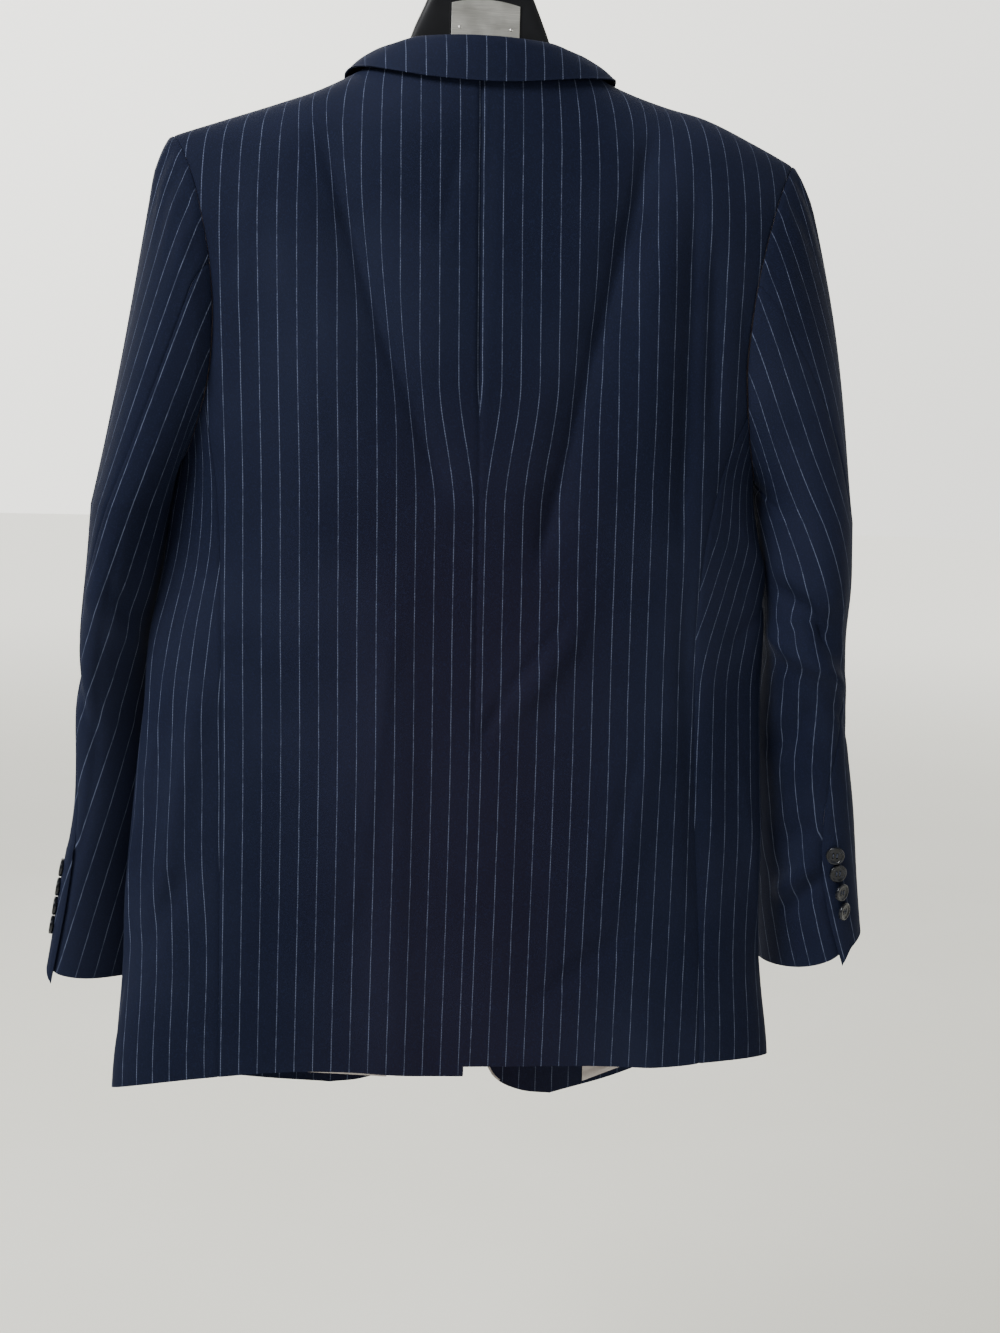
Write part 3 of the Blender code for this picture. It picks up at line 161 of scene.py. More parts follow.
sky = bpy.data.worlds.new("overcast_room")
sky.use_nodes = True
tree = sky.node_tree
way_x, way_y, way_z = add(tree, "SeparateXYZ", add(tree, "TexCoord")).node.outputs
strength = add(tree, "MapRange", way_y, -0.10, 0.75, 0.51, 3.4, **STEP)
for fall_off in (add(tree, "MapRange", way_x, -0.25, 0.55, 1.0, 0.72, **STEP),
                 add(tree, "MapRange", way_z, -0.02, 0.30, 0.86, 1.0, **STEP)):
    strength = add(tree, "Math", strength, fall_off, operation="MULTIPLY")
fill(tree, tree.nodes["Background"], {"Color": colour("ecebe4"), "Strength": strength})
bpy.context.scene.world = sky


def window(name, place, target, size, power, tint):
    """A soft area light at one place, turned so that its -Z looks at the target."""
    lamp = bpy.data.lights.new(name, "AREA")
    lamp.shape = "RECTANGLE"
    lamp.size, lamp.size_y = size
    lamp.energy = power
    lamp.color = tint
    holder = bpy.data.objects.new(name, lamp)
    bpy.context.scene.collection.objects.link(holder)
    away = np.array(place, float) - np.array(target, float)
    away /= np.linalg.norm(away)
    side = np.cross((0.0, 0.0, 1.0), away)
    side /= np.linalg.norm(side)
    top = np.cross(away, side)
    pose = np.eye(4)
    pose[:3, 0], pose[:3, 1], pose[:3, 2], pose[:3, 3] = side, top, away, place
    holder.matrix_world = Matrix(pose.tolist())


window("window_left", (-2.1, -1.6, 1.6), (0.0, 0.0, -0.25), (1.5, 1.5), 170.0, (0.98, 0.985, 1.0))
window("window_right", (2.3, -1.3, 0.5), (0.0, 0.0, -0.55), (1.8, 1.8), 14.0, (1.0, 0.98, 0.95))
window("window_front", (-0.8, 2.4, 0.9), (0.0, 0.0, -0.50), (1.8, 1.8), 34.0, (1.0, 0.99, 0.97))


# ---- The two back panels -----------------------------------------------------------------------
# Worsted wool, cut with the stripe along the centre-back seam and pressed flat at the seams. They
# hang from the hanger's arms, so two long drags run from the shoulder blades down to the waist.
THICK = 0.0011           # cloth as it shows, finer than the solid's stiffened wall
WALL = 0.0020
LAP = 0.0007
HALF_GAP = 0.00008       # left open on each side of a seam
SEAM_DIP = 0.0007        # how far a pressed seam sinks
CLOTH_SHARP = 48         # degrees; the cut edges of the cloth
BACK_HEM_Z = (-0.9065, -0.9000)
VENT_TOP_Z = -0.634
VENT_EDGE_X = 0.0025
NECK_SIDE = {-1: (-0.0770, -0.1244), 1: (0.0815, -0.1217)}
NECK_BACK_Z = -0.1370
SHOULDER_POINT = {-1: (-0.2290, -0.1870), 1: (0.2520, -0.1840)}
UNDERARM = {-1: (-0.2230, -0.4320), 1: (0.2320, -0.4320)}
SCOOP_BACK = 0.0280
SCOOP_FRONT = 0.0420
SHOULDER_ROUND = 0.100
NAME = {-1: "left", 1: "right"}
# z, half width left, half width right, depth of the back, depth of the front
BODY_ROWS = (
    (-1.000, 0.279, 0.270, 0.047, 0.050),
    (-0.905, 0.2745, 0.267, 0.048, 0.051),
    (-0.835, 0.2675, 0.256, 0.050, 0.052),
    (-0.760, 0.2645, 0.246, 0.052, 0.054),
    (-0.700, 0.2590, 0.2405, 0.054, 0.055),
    (-0.650, 0.2540, 0.2370, 0.056, 0.057),
    (-0.610, 0.2490, 0.2350, 0.057, 0.059),
    (-0.560, 0.2400, 0.2350, 0.059, 0.061),
    (-0.500, 0.2285, 0.2350, 0.062, 0.064),
    (-0.430, 0.2230, 0.2310, 0.066, 0.067),
    (-0.385, 0.2285, 0.2370, 0.067, 0.067),
    (-0.340, 0.2360, 0.2430, 0.067, 0.066),
    (-0.300, 0.2460, 0.2520, 0.066, 0.064),
    (-0.250, 0.2560, 0.2640, 0.063, 0.061),
    (-0.180, 0.2620, 0.2750, 0.060, 0.058),
    (-0.090, 0.2620, 0.2750, 0.060, 0.058),
)
SHOULDER_LINE = (
    (-0.2600, -0.2000), (-0.2290, -0.1870), (-0.1940, -0.1745), (-0.1500, -0.1590),
    (-0.1200, -0.1475), (-0.0990, -0.1370), (-0.0740, -0.1225), (0.0000, -0.0850),
    (0.0760, -0.1190), (0.1080, -0.1335), (0.1473, -0.1455), (0.1750, -0.1515),
    (0.2170, -0.1680), (0.2520, -0.1840), (0.2800, -0.1990),
)
SIDE_SEAM_BACK = {       # z, x
    -1: ((-0.930, -0.1896), (-0.775, -0.1896), (-0.620, -0.1886), (-0.540, -0.1899),
         (-0.480, -0.1912), (-0.435, -0.1950), (-0.3815, -0.2038)),
    1: ((-0.930, 0.2000), (-0.843, 0.1961), (-0.767, 0.1927), (-0.685, 0.1865), (-0.604, 0.1824),
        (-0.540, 0.1798), (-0.500, 0.1815), (-0.448, 0.1900), (-0.419, 0.1980), (-0.3809, 0.2157)),
}
BACK_HEM = {             # x, z
    -1: ((-0.275, -0.9265), (-0.250, -0.9215), (-0.208, -0.9107), (-0.160, -0.9040), (0.000, -0.9080)),
    1: ((0.000, -0.9000), (0.024, -0.9004), (0.102, -0.9022), (0.182, -0.9070), (0.245, -0.9040),
        (0.270, -0.9060)),
}
CENTRE_SEAM = ((-0.930, 0.0030), (-0.634, 0.0045), (-0.560, 0.0034), (-0.450, 0.0020), (-0.360, 0.0),
               (-0.130, -0.0030))
SEAM_MARKS = 12.0        # marks from the hem up to the armhole, on every side seam
BACK_JOIN = -126
BACK_ARMHOLE = (-126, -110, -94, -78, -66, -54, -41, -28, -15, 0)
NECK_SHARES = (0.95, 0.86, 0.74, 0.58, 0.40, 0.20, 0.0)
# the two drags: x of the trough at its start, its lean, and how far it draws the stripes aside
DRAGS = {-1: (-0.1200, -0.374, 0.0115), 1: (0.1260, 0.249, 0.0115)}
DRAG_ZONE = 0.042
DRAG_START_Z = -0.190
DRAG_END_Z = -0.410
DRAG_END_SHARE = 0.42    # how much of a step down past the end counts as a step across
# the centre-back seam: its stitches' pucker, and how far it sinks above and below the waist
PUCKER = 0.00030
PUCKER_PITCH = 0.013
PUCKER_REACH = 0.006
CENTRE_DIP = 0.0009
UPPER_DIP = 0.0012
CENTRE_REACH = 0.0022
# the panels' inner faces show lining above these heights, and the turned-up hem below them
LINED_Z = {"back": -0.885, "side": -0.900, "front": -0.840}
# the garment's large folds: x and z of both ends, half width, height outwards
BACK_FOLDS = (
    (-0.120, -0.185, -0.095, -0.265, 0.016, -0.0040),
    (-0.100, -0.250, -0.062, -0.360, 0.018, -0.0065),
    (-0.066, -0.345, -0.024, -0.445, 0.018, -0.0050),
    (-0.150, -0.230, -0.110, -0.400, 0.024, 0.0040),
    (0.130, -0.180, 0.112, -0.265, 0.016, -0.0045),
    (0.116, -0.245, 0.086, -0.345, 0.018, -0.0070),
    (0.089, -0.332, 0.048, -0.500, 0.018, -0.0060),
    (0.161, -0.210, 0.162, -0.480, 0.011, -0.0035),
    (0.179, -0.250, 0.184, -0.400, 0.009, -0.0030),
    (0.136, -0.250, 0.128, -0.420, 0.020, 0.0040),
    (-0.052, -0.490, -0.098, -0.760, 0.022, 0.0035),
    (0.088, -0.520, 0.026, -0.615, 0.014, 0.0045),
    (0.110, -0.760, 0.140, -0.630, 0.020, 0.0035),
    (0.168, -0.520, 0.196, -0.800, 0.010, -0.0040),
    (-0.206, -0.600, -0.240, -0.790, 0.010, 0.0050),
    (-0.215, -0.740, -0.255, -0.820, 0.009, -0.0035),
)
FRONT_FOLDS = (
    (-0.130, -0.260, -0.060, -0.500, 0.022, -0.0045),
    (0.130, -0.260, 0.070, -0.500, 0.022, -0.0045),
    (-0.015, -0.560, -0.060, -0.620, 0.018, 0.0030),
    (0.030, -0.560, 0.065, -0.620, 0.018, 0.0030),
)
# the finer creases, in the same columns
BACK_CREASES = (
    (0.077, -0.534, 0.024, -0.604, 0.0060, -0.0034),
    (0.026, -0.604, 0.009, -0.636, 0.0055, -0.0028),
    (0.086, -0.548, 0.040, -0.612, 0.0080, 0.0026),
    (0.136, -0.635, 0.108, -0.764, 0.0080, -0.0024),
    (0.134, -0.789, 0.063, -0.845, 0.0090, -0.0028),
    (-0.016, -0.195, -0.033, -0.262, 0.0060, -0.0014),
    (-0.118, -0.195, -0.066, -0.350, 0.0050, -0.0030),
    (-0.070, -0.330, -0.026, -0.440, 0.0060, -0.0026),
    (0.128, -0.180, 0.086, -0.345, 0.0055, -0.0030),
    (0.092, -0.320, 0.050, -0.500, 0.0060, -0.0028),
    (0.163, -0.215, 0.164, -0.480, 0.0045, -0.0022),
    (0.180, -0.255, 0.186, -0.400, 0.0040, -0.0016),
    (-0.200, -0.265, -0.199, -0.400, 0.0060, -0.0028),
    (-0.054, -0.600, -0.056, -0.930, 0.0180, 0.0034),
    (-0.060, -0.545, -0.079, -0.735, 0.0070, 0.0014),
    (-0.079, -0.735, -0.098, -0.800, 0.0080, 0.0010),
    (-0.128, -0.300, -0.104, -0.420, 0.0080, -0.0010),
    (0.063, -0.434, 0.050, -0.495, 0.0080, -0.0012),
    (-0.165, -0.215, -0.178, -0.330, 0.0080, 0.0012),
    (0.050, -0.640, 0.058, -0.860, 0.0120, -0.0010),
    (-0.140, -0.560, -0.150, -0.860, 0.0140, -0.0010),
    (0.150, -0.860, 0.158, -0.930, 0.0160, 0.0016),
    (-0.040, -0.830, -0.036, -0.930, 0.0160, 0.0012),
    (0.004, -0.150, 0.001, -0.375, 0.0035, -0.0012),
    (-0.196, -0.300, -0.206, -0.360, 0.0050, -0.0010),
    (0.205, -0.300, 0.214, -0.360, 0.0050, -0.0010),
)
FRONT_CREASES = (
    (-0.150, -0.300, -0.120, -0.420, 0.0080, -0.0012),
    (0.165, -0.280, 0.140, -0.430, 0.0080, -0.0012),
    (0.040, -0.600, 0.110, -0.650, 0.0070, -0.0010),
    (-0.045, -0.590, -0.120, -0.640, 0.0070, -0.0010),
    (-0.080, -0.700, -0.090, -0.880, 0.0120, 0.0012),
    (0.085, -0.720, 0.100, -0.900, 0.0120, 0.0012),
    (0.170, -0.520, 0.150, -0.760, 0.0110, -0.0014),
    (-0.170, -0.500, -0.160, -0.780, 0.0110, -0.0014),
)


def smooth(value, knots, values):
    """Cubic through the knots: each span is a Hermite curve whose end slopes are the mean slopes.
    The values may be numbers or whole arrays, one for each knot."""
    knots = np.asarray(knots, float)
    values = np.asarray(values, float)
    slopes = np.gradient(values, knots, axis=0)
    value = np.clip(value, knots[0], knots[-1])
    i = np.clip(np.searchsorted(knots, value, side="right") - 1, 0, len(knots) - 2)
    spread = (...,) + (None,) * (values.ndim - 1)
    span = np.asarray(knots[i + 1] - knots[i])[spread]
    t = np.asarray(value - knots[i])[spread] / span
    return (values[i] * (1 + 2 * t) * (1 - t) ** 2 + values[i + 1] * t * t * (3 - 2 * t)
            + span * (slopes[i] * t * (1 - t) ** 2 - slopes[i + 1] * t * t * (1 - t)))


def read(table, at, index=1):
    """A smooth cubic through one column of a table, over the table's first column."""
    return smooth(at, [row[0] for row in table], [row[index] for row in table])


def run_along(points, axis):
    """Distance of each point from the first row (axis 0) or column (axis 1), along the grid."""
    steps = np.linalg.norm(np.diff(points, axis=axis), axis=-1)
    return np.insert(np.cumsum(steps, axis=axis), 0, 0.0, axis=axis)


def ease(value):
    """0 below 0, 1 above 1, and the step 3t^2 - 2t^3 between them."""
    value = np.clip(value, 0.0, 1.0)
    return value * value * (3.0 - 2.0 * value)


def unit(vectors):
    """Vectors divided by their lengths."""
    return vectors / np.maximum(np.linalg.norm(vectors, axis=-1, keepdims=True), 1e-12)


def half_width(x, z):
    """Half width of the body at a height, on the side that x is on."""
    left = read(BODY_ROWS, z)
    right = read(BODY_ROWS, z, 2)
    return np.where(x < 0, left, right)


def depth(face, z):
    """Depth of the back (face -1) or of the fronts (face +1)."""
    back = read(BODY_ROWS, z, 3)
    front = read(BODY_ROWS, z, 4)
    return np.where(face < 0, back, front)


def shoulder_z(x):
    """Height of the line along the top of the shoulders."""
    return read(SHOULDER_LINE, x)


def thinning(x, z):
    """Square of y over depth: 1 - |x / half width|^3, rounded off under the shoulder line."""
    across = 1.0 - np.abs(x / half_width(x, z)) ** 3
    up = np.clip((z - shoulder_z(x) + SHOULDER_ROUND) / SHOULDER_ROUND, 0.0, 1.2)
    return across * (1.0 - up * up)


def folds(x, z, rows):
    """Sum of soft ridges and troughs: a bell across each line that fades out at its ends."""
    total = np.zeros(np.broadcast(x, z).shape)
    for x0, z0, x1, z1, width, height in rows:
        length = math.hypot(x1 - x0, z1 - z0)
        along = ((x - x0) * (x1 - x0) + (z - z0) * (z1 - z0)) / length ** 2
        across = ((x - x0) * (z1 - z0) - (z - z0) * (x1 - x0)) / length
        fade = ease((along + 0.15) / 0.4) * ease((1.15 - along) / 0.4)
        total += height * fade * np.exp(-(across / width) ** 2)
    return total


def folds_round(angle, z, rows, step):
    """The same over angles round a form, where a degree counts as a step in metres."""
    return folds(angle * step, z, [(a0 * step, z0, a1 * step, z1, width, height)
                                   for a0, z0, a1, z1, width, height in rows])


def form(x, z, face):
    """Points of the smooth form, y = face * depth * sqrt(thinning), and its normals."""
    x, z, face = np.broadcast_arrays(np.asarray(x, float), np.asarray(z, float), face)
    deep = depth(face, z)
    y = face * deep * np.sqrt(np.maximum(thinning(x, z), 0.0))
    step = 1e-5
    slope_x = -(thinning(x + step, z) - thinning(x - step, z)) / (2 * step)
    deeper = (depth(face, z + step) - depth(face, z - step)) / (2 * step)
    slope_z = (-(thinning(x, z + step) - thinning(x, z - step)) / (2 * step)
               - 2 * y * y * deeper / deep ** 3)
    normals = unit(np.stack([slope_x, 2 * y / deep ** 2, slope_z], axis=-1))
    return np.stack([x, y, z], axis=-1), normals


def body(x, z, face, out=0.0):
    """The creased form, moved out along its normals, and those normals."""
    points, normals = form(x, z, face)
    creases = np.where(np.asarray(face) < 0, folds(x, z, BACK_FOLDS + BACK_CREASES),
                       folds(x, z, FRONT_FOLDS + FRONT_CREASES))
    calm = ease((0.30 - np.abs(x) - 0.03) / 0.05) * ease((shoulder_z(x) - z) / 0.05)
    return points + (creases * calm + out)[..., None] * normals, normals


def armhole(side, angle):
    """x, z and face of the armhole seam. Height follows a cosine, the scoop a sine^1.5."""
    angle = np.radians(np.asarray(angle, float))
    down = (1.0 - np.cos(angle)) / 2.0
    top = np.array(SHOULDER_POINT[side])
    low = np.array(UNDERARM[side])
    face = np.where(np.sin(angle) < -1e-9, -1, 1)
    scoop = np.where(face < 0, SCOOP_BACK, SCOOP_FRONT) * np.abs(np.sin(angle)) ** 1.5
    return (top[0] + (low[0] - top[0]) * down - side * scoop, top[1] + (low[1] - top[1]) * down, face)


def spaced(stops, cells, close=(0.10, 0.30, 0.60)):
    """Positions 0 to stops, with a few more near both ends, where a pressed seam needs them."""
    inside = np.linspace(0, stops, cells + 1)
    step = stops / cells
    near = np.array(close) * step
    return np.sort(np.concatenate([inside, near, stops - near]))


def patch(bottom, top, left, right, u, v):
    """Coons patch: four edge curves of points, blended at the shares u (columns) and v (rows)."""
    u, v = u[None, :, None], v[:, None, None]
    ruled = (1 - v) * bottom[None] + v * top[None] + (1 - u) * left[:, None] + u * right[:, None]
    corners = ((1 - u) * (1 - v) * bottom[0] + u * (1 - v) * bottom[-1]
               + (1 - u) * v * top[0] + u * v * top[-1])
    return ruled - corners


def edge_distance(points, sides):
    """Distance along the grid from each point to the nearest of the named edges (l, r, b, t)."""
    across, along = run_along(points, 1), run_along(points, 0)
    ways = {"l": across, "r": across[:, -1:] - across, "b": along, "t": along[-1:] - along}
    return np.min([ways[name] for name in sides], axis=0)


def pressed(points, normals, sides, dip=SEAM_DIP, reach=0.0016):
    """Sinks the named edges by a bell of their distance, as a pressed seam does."""
    away = edge_distance(points, sides)
    return points - normals * (dip * np.exp(-(away / reach) ** 2))[..., None]


def pulled_in(grid, sides="lrbt", gap=HALF_GAP):
    """Moves the named edges inwards, square to the edge, by half a seam gap."""
    grid = grid.copy()
    pairs = {"l": (np.s_[:, 0], np.s_[:, 1]), "r": (np.s_[:, -1], np.s_[:, -2]),
             "b": (np.s_[0], np.s_[1]), "t": (np.s_[-1], np.s_[-2])}
    for name in sides:
        edge, inner = pairs[name]
        along = unit(np.gradient(grid[edge], axis=0))
        inwards = grid[inner] - grid[edge]
        inwards -= along * (inwards * along).sum(axis=-1, keepdims=True)
        grid[edge] += unit(inwards) * gap
    return grid


def cloth_wall(name, outer, inner, cut, materials, lined=None):
    """Closes two grids into one wall. Its UV map is the flat cut in metres; the inside faces take
    the second material, where lined (a yes or no for each row of cells) says so. Faces are turned
    outwards by the sign of the enclosed volume."""
    rows, cols = outer.shape[:2]
    count = rows * cols
    index = np.arange(count).reshape(rows, cols)
    quads = np.stack([index[:-1, :-1], index[:-1, 1:], index[1:, 1:], index[1:, :-1]], axis=-1)
    quads = quads.reshape(-1, 4)
    ring = np.concatenate([index[0, :-1], index[:-1, -1], index[-1, :0:-1], index[:0:-1, 0]])
    rim = np.stack([ring, ring + count, np.roll(ring, -1) + count, np.roll(ring, -1)], axis=-1)
    faces = np.concatenate([quads, quads[:, ::-1] + count, rim])
    points = np.concatenate([outer.reshape(-1, 3), inner.reshape(-1, 3)])
    corner = points[faces]
    volume = (np.einsum("ij,ij->i", corner[:, 0], np.cross(corner[:, 1], corner[:, 2]))
              + np.einsum("ij,ij->i", corner[:, 0], np.cross(corner[:, 2], corner[:, 3]))).sum()
    if volume < 0:
        faces = faces[:, ::-1]
    slots = np.zeros(len(faces), np.int32)
    lined = np.ones(rows - 1, bool) if lined is None else np.asarray(lined)[:rows - 1]
    slots[len(quads):2 * len(quads)] = np.repeat(lined, cols - 1) * (len(materials) - 1)
    made = shell(name, points, faces.tolist(), materials, CLOTH_SHARP, slots)
    flat = np.concatenate([cut.reshape(-1, 2), cut.reshape(-1, 2)])
    layer = made.data.uv_layers.new(name="cut")
    layer.data.foreach_set("uv", flat[faces.ravel()].ravel().astype(np.float32))
    return made


def dress(made, node):
    """Ties a finished piece to the frame, under its root body, and hides the solid that it stands for."""
    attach(made, "root")
    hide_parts(node)


def arc_from(x_start, x, z, face):
    """Length along the level line of the form from x_start to x: the sum of 40 short chords."""
    share = np.linspace(0, 1, 41)
    line = x_start[..., None] + (x - x_start)[..., None] * share
    y = depth(face, z)[..., None] * np.sqrt(np.maximum(thinning(line, z[..., None]), 0.0))
    steps = np.hypot(np.diff(line, axis=-1), np.diff(y, axis=-1))
    return np.sign(x - x_start) * steps.sum(axis=-1)


# pin stripes: pitch, half width, the yarn's wander sideways and the length of one float and its gap
STRIPE_PITCH = 0.01440
STRIPE_HALF = 0.00030
STRIPE_WANDER = 0.0005
FLOAT_LENGTH = 0.0021
TWILL_SUM = 0.0011       # change of u + v from one rib of the twill to the next


def worsted(name, first_stripe=0.0):
    """Dark navy worsted: a fine twill, slow random shifts of tone, and a light pin stripe every pitch
    along the cut's v, broken where the stripe yarn dives under the weft; low in the middle, painted
    shade makes it darker and a little purple."""
    made, tree, shader = new_material(name)
    u, v, _ = add(tree, "SeparateXYZ", add(tree, "UVMap", uv_map="cut")).node.outputs
    place = add(tree, "TexCoord", **IN_PLACE)
    x, _, z = add(tree, "SeparateXYZ", place).node.outputs
    wander, fading, flecks, shades = (
        add(tree, "TexNoise", {"Vector": place, "Scale": scale, "Detail": detail})
        for scale, detail in ((60.0, 1.0), (110.0, 2.0), (900.0, 2.0), (5.0, 3.0)))
    # distance to the nearest stripe
    away = wander
    for operation, *others in (
            ("SUBTRACT", 0.5), ("MULTIPLY_ADD", STRIPE_WANDER, u), ("SUBTRACT", first_stripe),
            ("DIVIDE", STRIPE_PITCH), ("FRACT",), ("SUBTRACT", 0.5), ("ABSOLUTE",),
            ("MULTIPLY_ADD", -STRIPE_PITCH, STRIPE_PITCH * 0.5)):
        away = add(tree, "Math", away, *others, operation=operation)
    # the stripe shows as short floats with gaps between them, brighter and fainter by turns
    floats = v
    for operation, *others in (("MULTIPLY", 2 * math.pi / FLOAT_LENGTH), ("SINE",),
                               ("MULTIPLY_ADD", 0.225, 0.775)):
        floats = add(tree, "Math", floats, *others, operation=operation)
    light = add(tree, "MapRange", away, STRIPE_HALF * 0.55, STRIPE_HALF * 1.45, 1.0, 0.0, **STEP)
    for share in (add(tree, "MapRange", fading, 0.36, 0.60, 0.45, 1.0, **STEP), floats):
        light = add(tree, "Math", light, share, operation="MULTIPLY")
    # painted shade: low in the middle the navy is painted darker and a little purple
    painted_low_shade = add(tree, "MapRange", add(tree, "Math", x, operation="ABSOLUTE"), 0.02, 0.17, 0.55, 0.0,
               **STEP)
    painted_low_shade = add(tree, "Math", painted_low_shade, add(tree, "MapRange", z, -0.55, -0.30, 1.0, 0.0, **STEP),
               operation="MULTIPLY")
    base = colour("111524")
    for share, other in ((add(tree, "MapRange", shades, 0.35, 0.68, **STEP), "191d2d"), (painted_low_shade, "181421"),
                         (add(tree, "MapRange", flecks, 0.45, 0.75, 0.0, 0.30, **STEP), "1d2440"),
                         (light, "50576c")):
        base = add(tree, "Mix", {0: share, 6: base, 7: colour(other)}, **COLOURS)
    # diagonal ribs 0.55 mm apart, the wool's flecks, and the stripe's raised yarn
    ribs = add(tree, "Math", u, v, operation="ADD")
    for operation, *others in (("MULTIPLY", 2 * math.pi / TWILL_SUM), ("SINE",), ("MULTIPLY", 0.35)):
        ribs = add(tree, "Math", ribs, *others, operation=operation)
    relief = add(tree, "Math", flecks, 0.8, ribs, operation="MULTIPLY_ADD")
    relief = add(tree, "Math", light, 0.5, relief, operation="MULTIPLY_ADD")
    fill(tree, shader, {
        "Base Color": base, "Roughness": 0.72, "Specular IOR Level": 0.03, "Sheen Weight": 0.03,
        "Sheen Roughness": 0.42, "Sheen Tint": colour("7f8fb8"),
        "Normal": add(tree, "Bump", {"Strength": 0.35, "Distance": 0.00025, "Height": relief})})
    return made


satin, tree, shader = new_material("lining_satin")
# taupe satin: a soft sheen, faint slubs along the warp
place = add(tree, "TexCoord", **IN_PLACE)
stretched = add(tree, "Mapping", {"Vector": place, "Scale": (900.0, 900.0, 60.0)})
slubs = add(tree, "TexNoise", {"Vector": stretched, "Scale": 1.0, "Detail": 3.0})
waves = add(tree, "TexNoise", {"Vector": place, "Scale": 24.0, "Detail": 2.0})
base = colour("8d8584")
for share, other in ((add(tree, "MapRange", waves, 0.3, 0.7, **STEP), "a39a97"),
                     (add(tree, "MapRange", slubs, 0.4, 0.8, 0.0, 0.3, **STEP), "b8afab")):
    base = add(tree, "Mix", {0: share, 6: base, 7: colour(other)}, **COLOURS)
fill(tree, shader, {
    "Base Color": base, "Roughness": 0.38, "Sheen Weight": 0.15,
    "Normal": add(tree, "Bump", {"Strength": 0.3, "Distance": 0.0004, "Height": waves})})
wool_left = worsted("worsted_back_left", first_stripe=-0.0012)
wool_right = worsted("worsted_back_right", first_stripe=0.0022)


def seam_points(table, zs):
    """x, z along a seam given as a table of z and x."""
    return np.stack([read(table, zs), zs], axis=-1)


def back_hem_z(x):
    """Height of the back hem: level at the vent, lower at the left side."""
    left = read(BACK_HEM[-1], x)
    right = read(BACK_HEM[1], x)
    return np.where(np.asarray(x) < VENT_EDGE_X, left, right)


def neck_z(x):
    """Back neck seam: a parabola up to the shoulders."""
    side = np.where(np.asarray(x) < 0, -1, 1)
    reach = np.where(side < 0, NECK_SIDE[-1][0], NECK_SIDE[1][0])
    rise = np.where(side < 0, NECK_SIDE[-1][1], NECK_SIDE[1][1]) - NECK_BACK_Z
    return NECK_BACK_Z + rise * (x / reach) ** 2


def centre_x(z):
    """The centre-back seam, and below it the vent's edge."""
    return read(CENTRE_SEAM, z)


def join_heights(side, table, join_angle):
    """z of a side seam's two ends: the hem and the armhole."""
    _, z_join, _ = armhole(side, join_angle)
    x_hem = read(table, -0.92)
    return float(back_hem_z(x_hem)), float(z_join)


def side_seam(side, table, join_angle, hem, marks):
    """x, z up a side seam at its marks. Over the last mark it is drawn to where it meets the
    armhole."""
    x_join, z_join, _ = armhole(side, join_angle)
    edge = seam_points(table, hem + (float(z_join) - hem) * marks / SEAM_MARKS)
    edge[:, 0] += (float(x_join) - edge[-1, 0]) * ease(marks - SEAM_MARKS + 1.0)
    return edge


def armhole_edge(side, stops, stop_angles):
    """x, z along the armhole at positions counted in its seam marks."""
    x, z, _ = armhole(side, np.interp(stops, np.arange(len(stop_angles)), stop_angles))
    return np.stack([x, z], axis=-1)


def back_cut(side):
    """x, z of a back panel's grid. Its outer edge is the side seam and the armhole, its inner edge
    the centre seam, its top the shoulder and the neck; 21 marks up and 14 across."""
    v, u = spaced(21.0, 168), spaced(14.0, 98)
    z_hem, z_join = join_heights(side, SIDE_SEAM_BACK[side], BACK_JOIN)
    low, high = v[v <= SEAM_MARKS], v[v > SEAM_MARKS]
    outer = np.vstack([side_seam(side, SIDE_SEAM_BACK[side], BACK_JOIN, z_hem, low),
                       armhole_edge(side, high - SEAM_MARKS, BACK_ARMHOLE)])
    centre_hem = BACK_HEM_Z[0 if side < 0 else 1]
    share = (outer[len(low):, 1] - z_join) / (outer[-1, 1] - z_join)
    centre_z = np.r_[centre_hem + (z_join - centre_hem) * low / SEAM_MARKS,
                     z_join + (NECK_BACK_Z - z_join) * share]
    centre = np.stack([centre_x(centre_z), centre_z], axis=-1)
    neck = NECK_SIDE[side]
    to_neck, on_neck = u[u <= 7.0], u[u > 7.0]
    shoulder_x = outer[-1, 0] + (neck[0] - outer[-1, 0]) * to_neck / 7.0
    shares = smooth(on_neck - 7.0, np.arange(8.0), (1.0,) + NECK_SHARES)
    neck_x = neck[0] * shares + centre[-1, 0] * ease((on_neck - 13.0) / 1.0)
    top = np.vstack([np.stack([shoulder_x, shoulder_z(shoulder_x)], axis=-1),
                     np.stack([neck_x, neck_z(neck_x)], axis=-1)])
    top[-1] = centre[-1]
    hem_x = outer[0, 0] + (centre[0, 0] - outer[0, 0]) * u / 14.0
    hem = np.stack([hem_x, back_hem_z(hem_x - (0.0005 if side < 0 else -0.0005))], axis=-1)
    hem[0], hem[-1] = outer[0], centre[0]
    return patch(hem, top, outer, centre, u / 14.0, v / 21.0)


def drag_pull(x, z, side):
    """How far the stripes lie beside their own line outside a drag and below it: a step across its
    trough, whose x is trough_x + lean * (z - DRAG_START_Z), and across its level end."""
    trough_x, lean, pull = DRAGS[side]
    across = np.maximum(side * (x - trough_x - lean * (z - DRAG_START_Z)),
                        (DRAG_END_Z - z) * DRAG_END_SHARE)
    return side * pull * ease(0.5 + across / DRAG_ZONE)


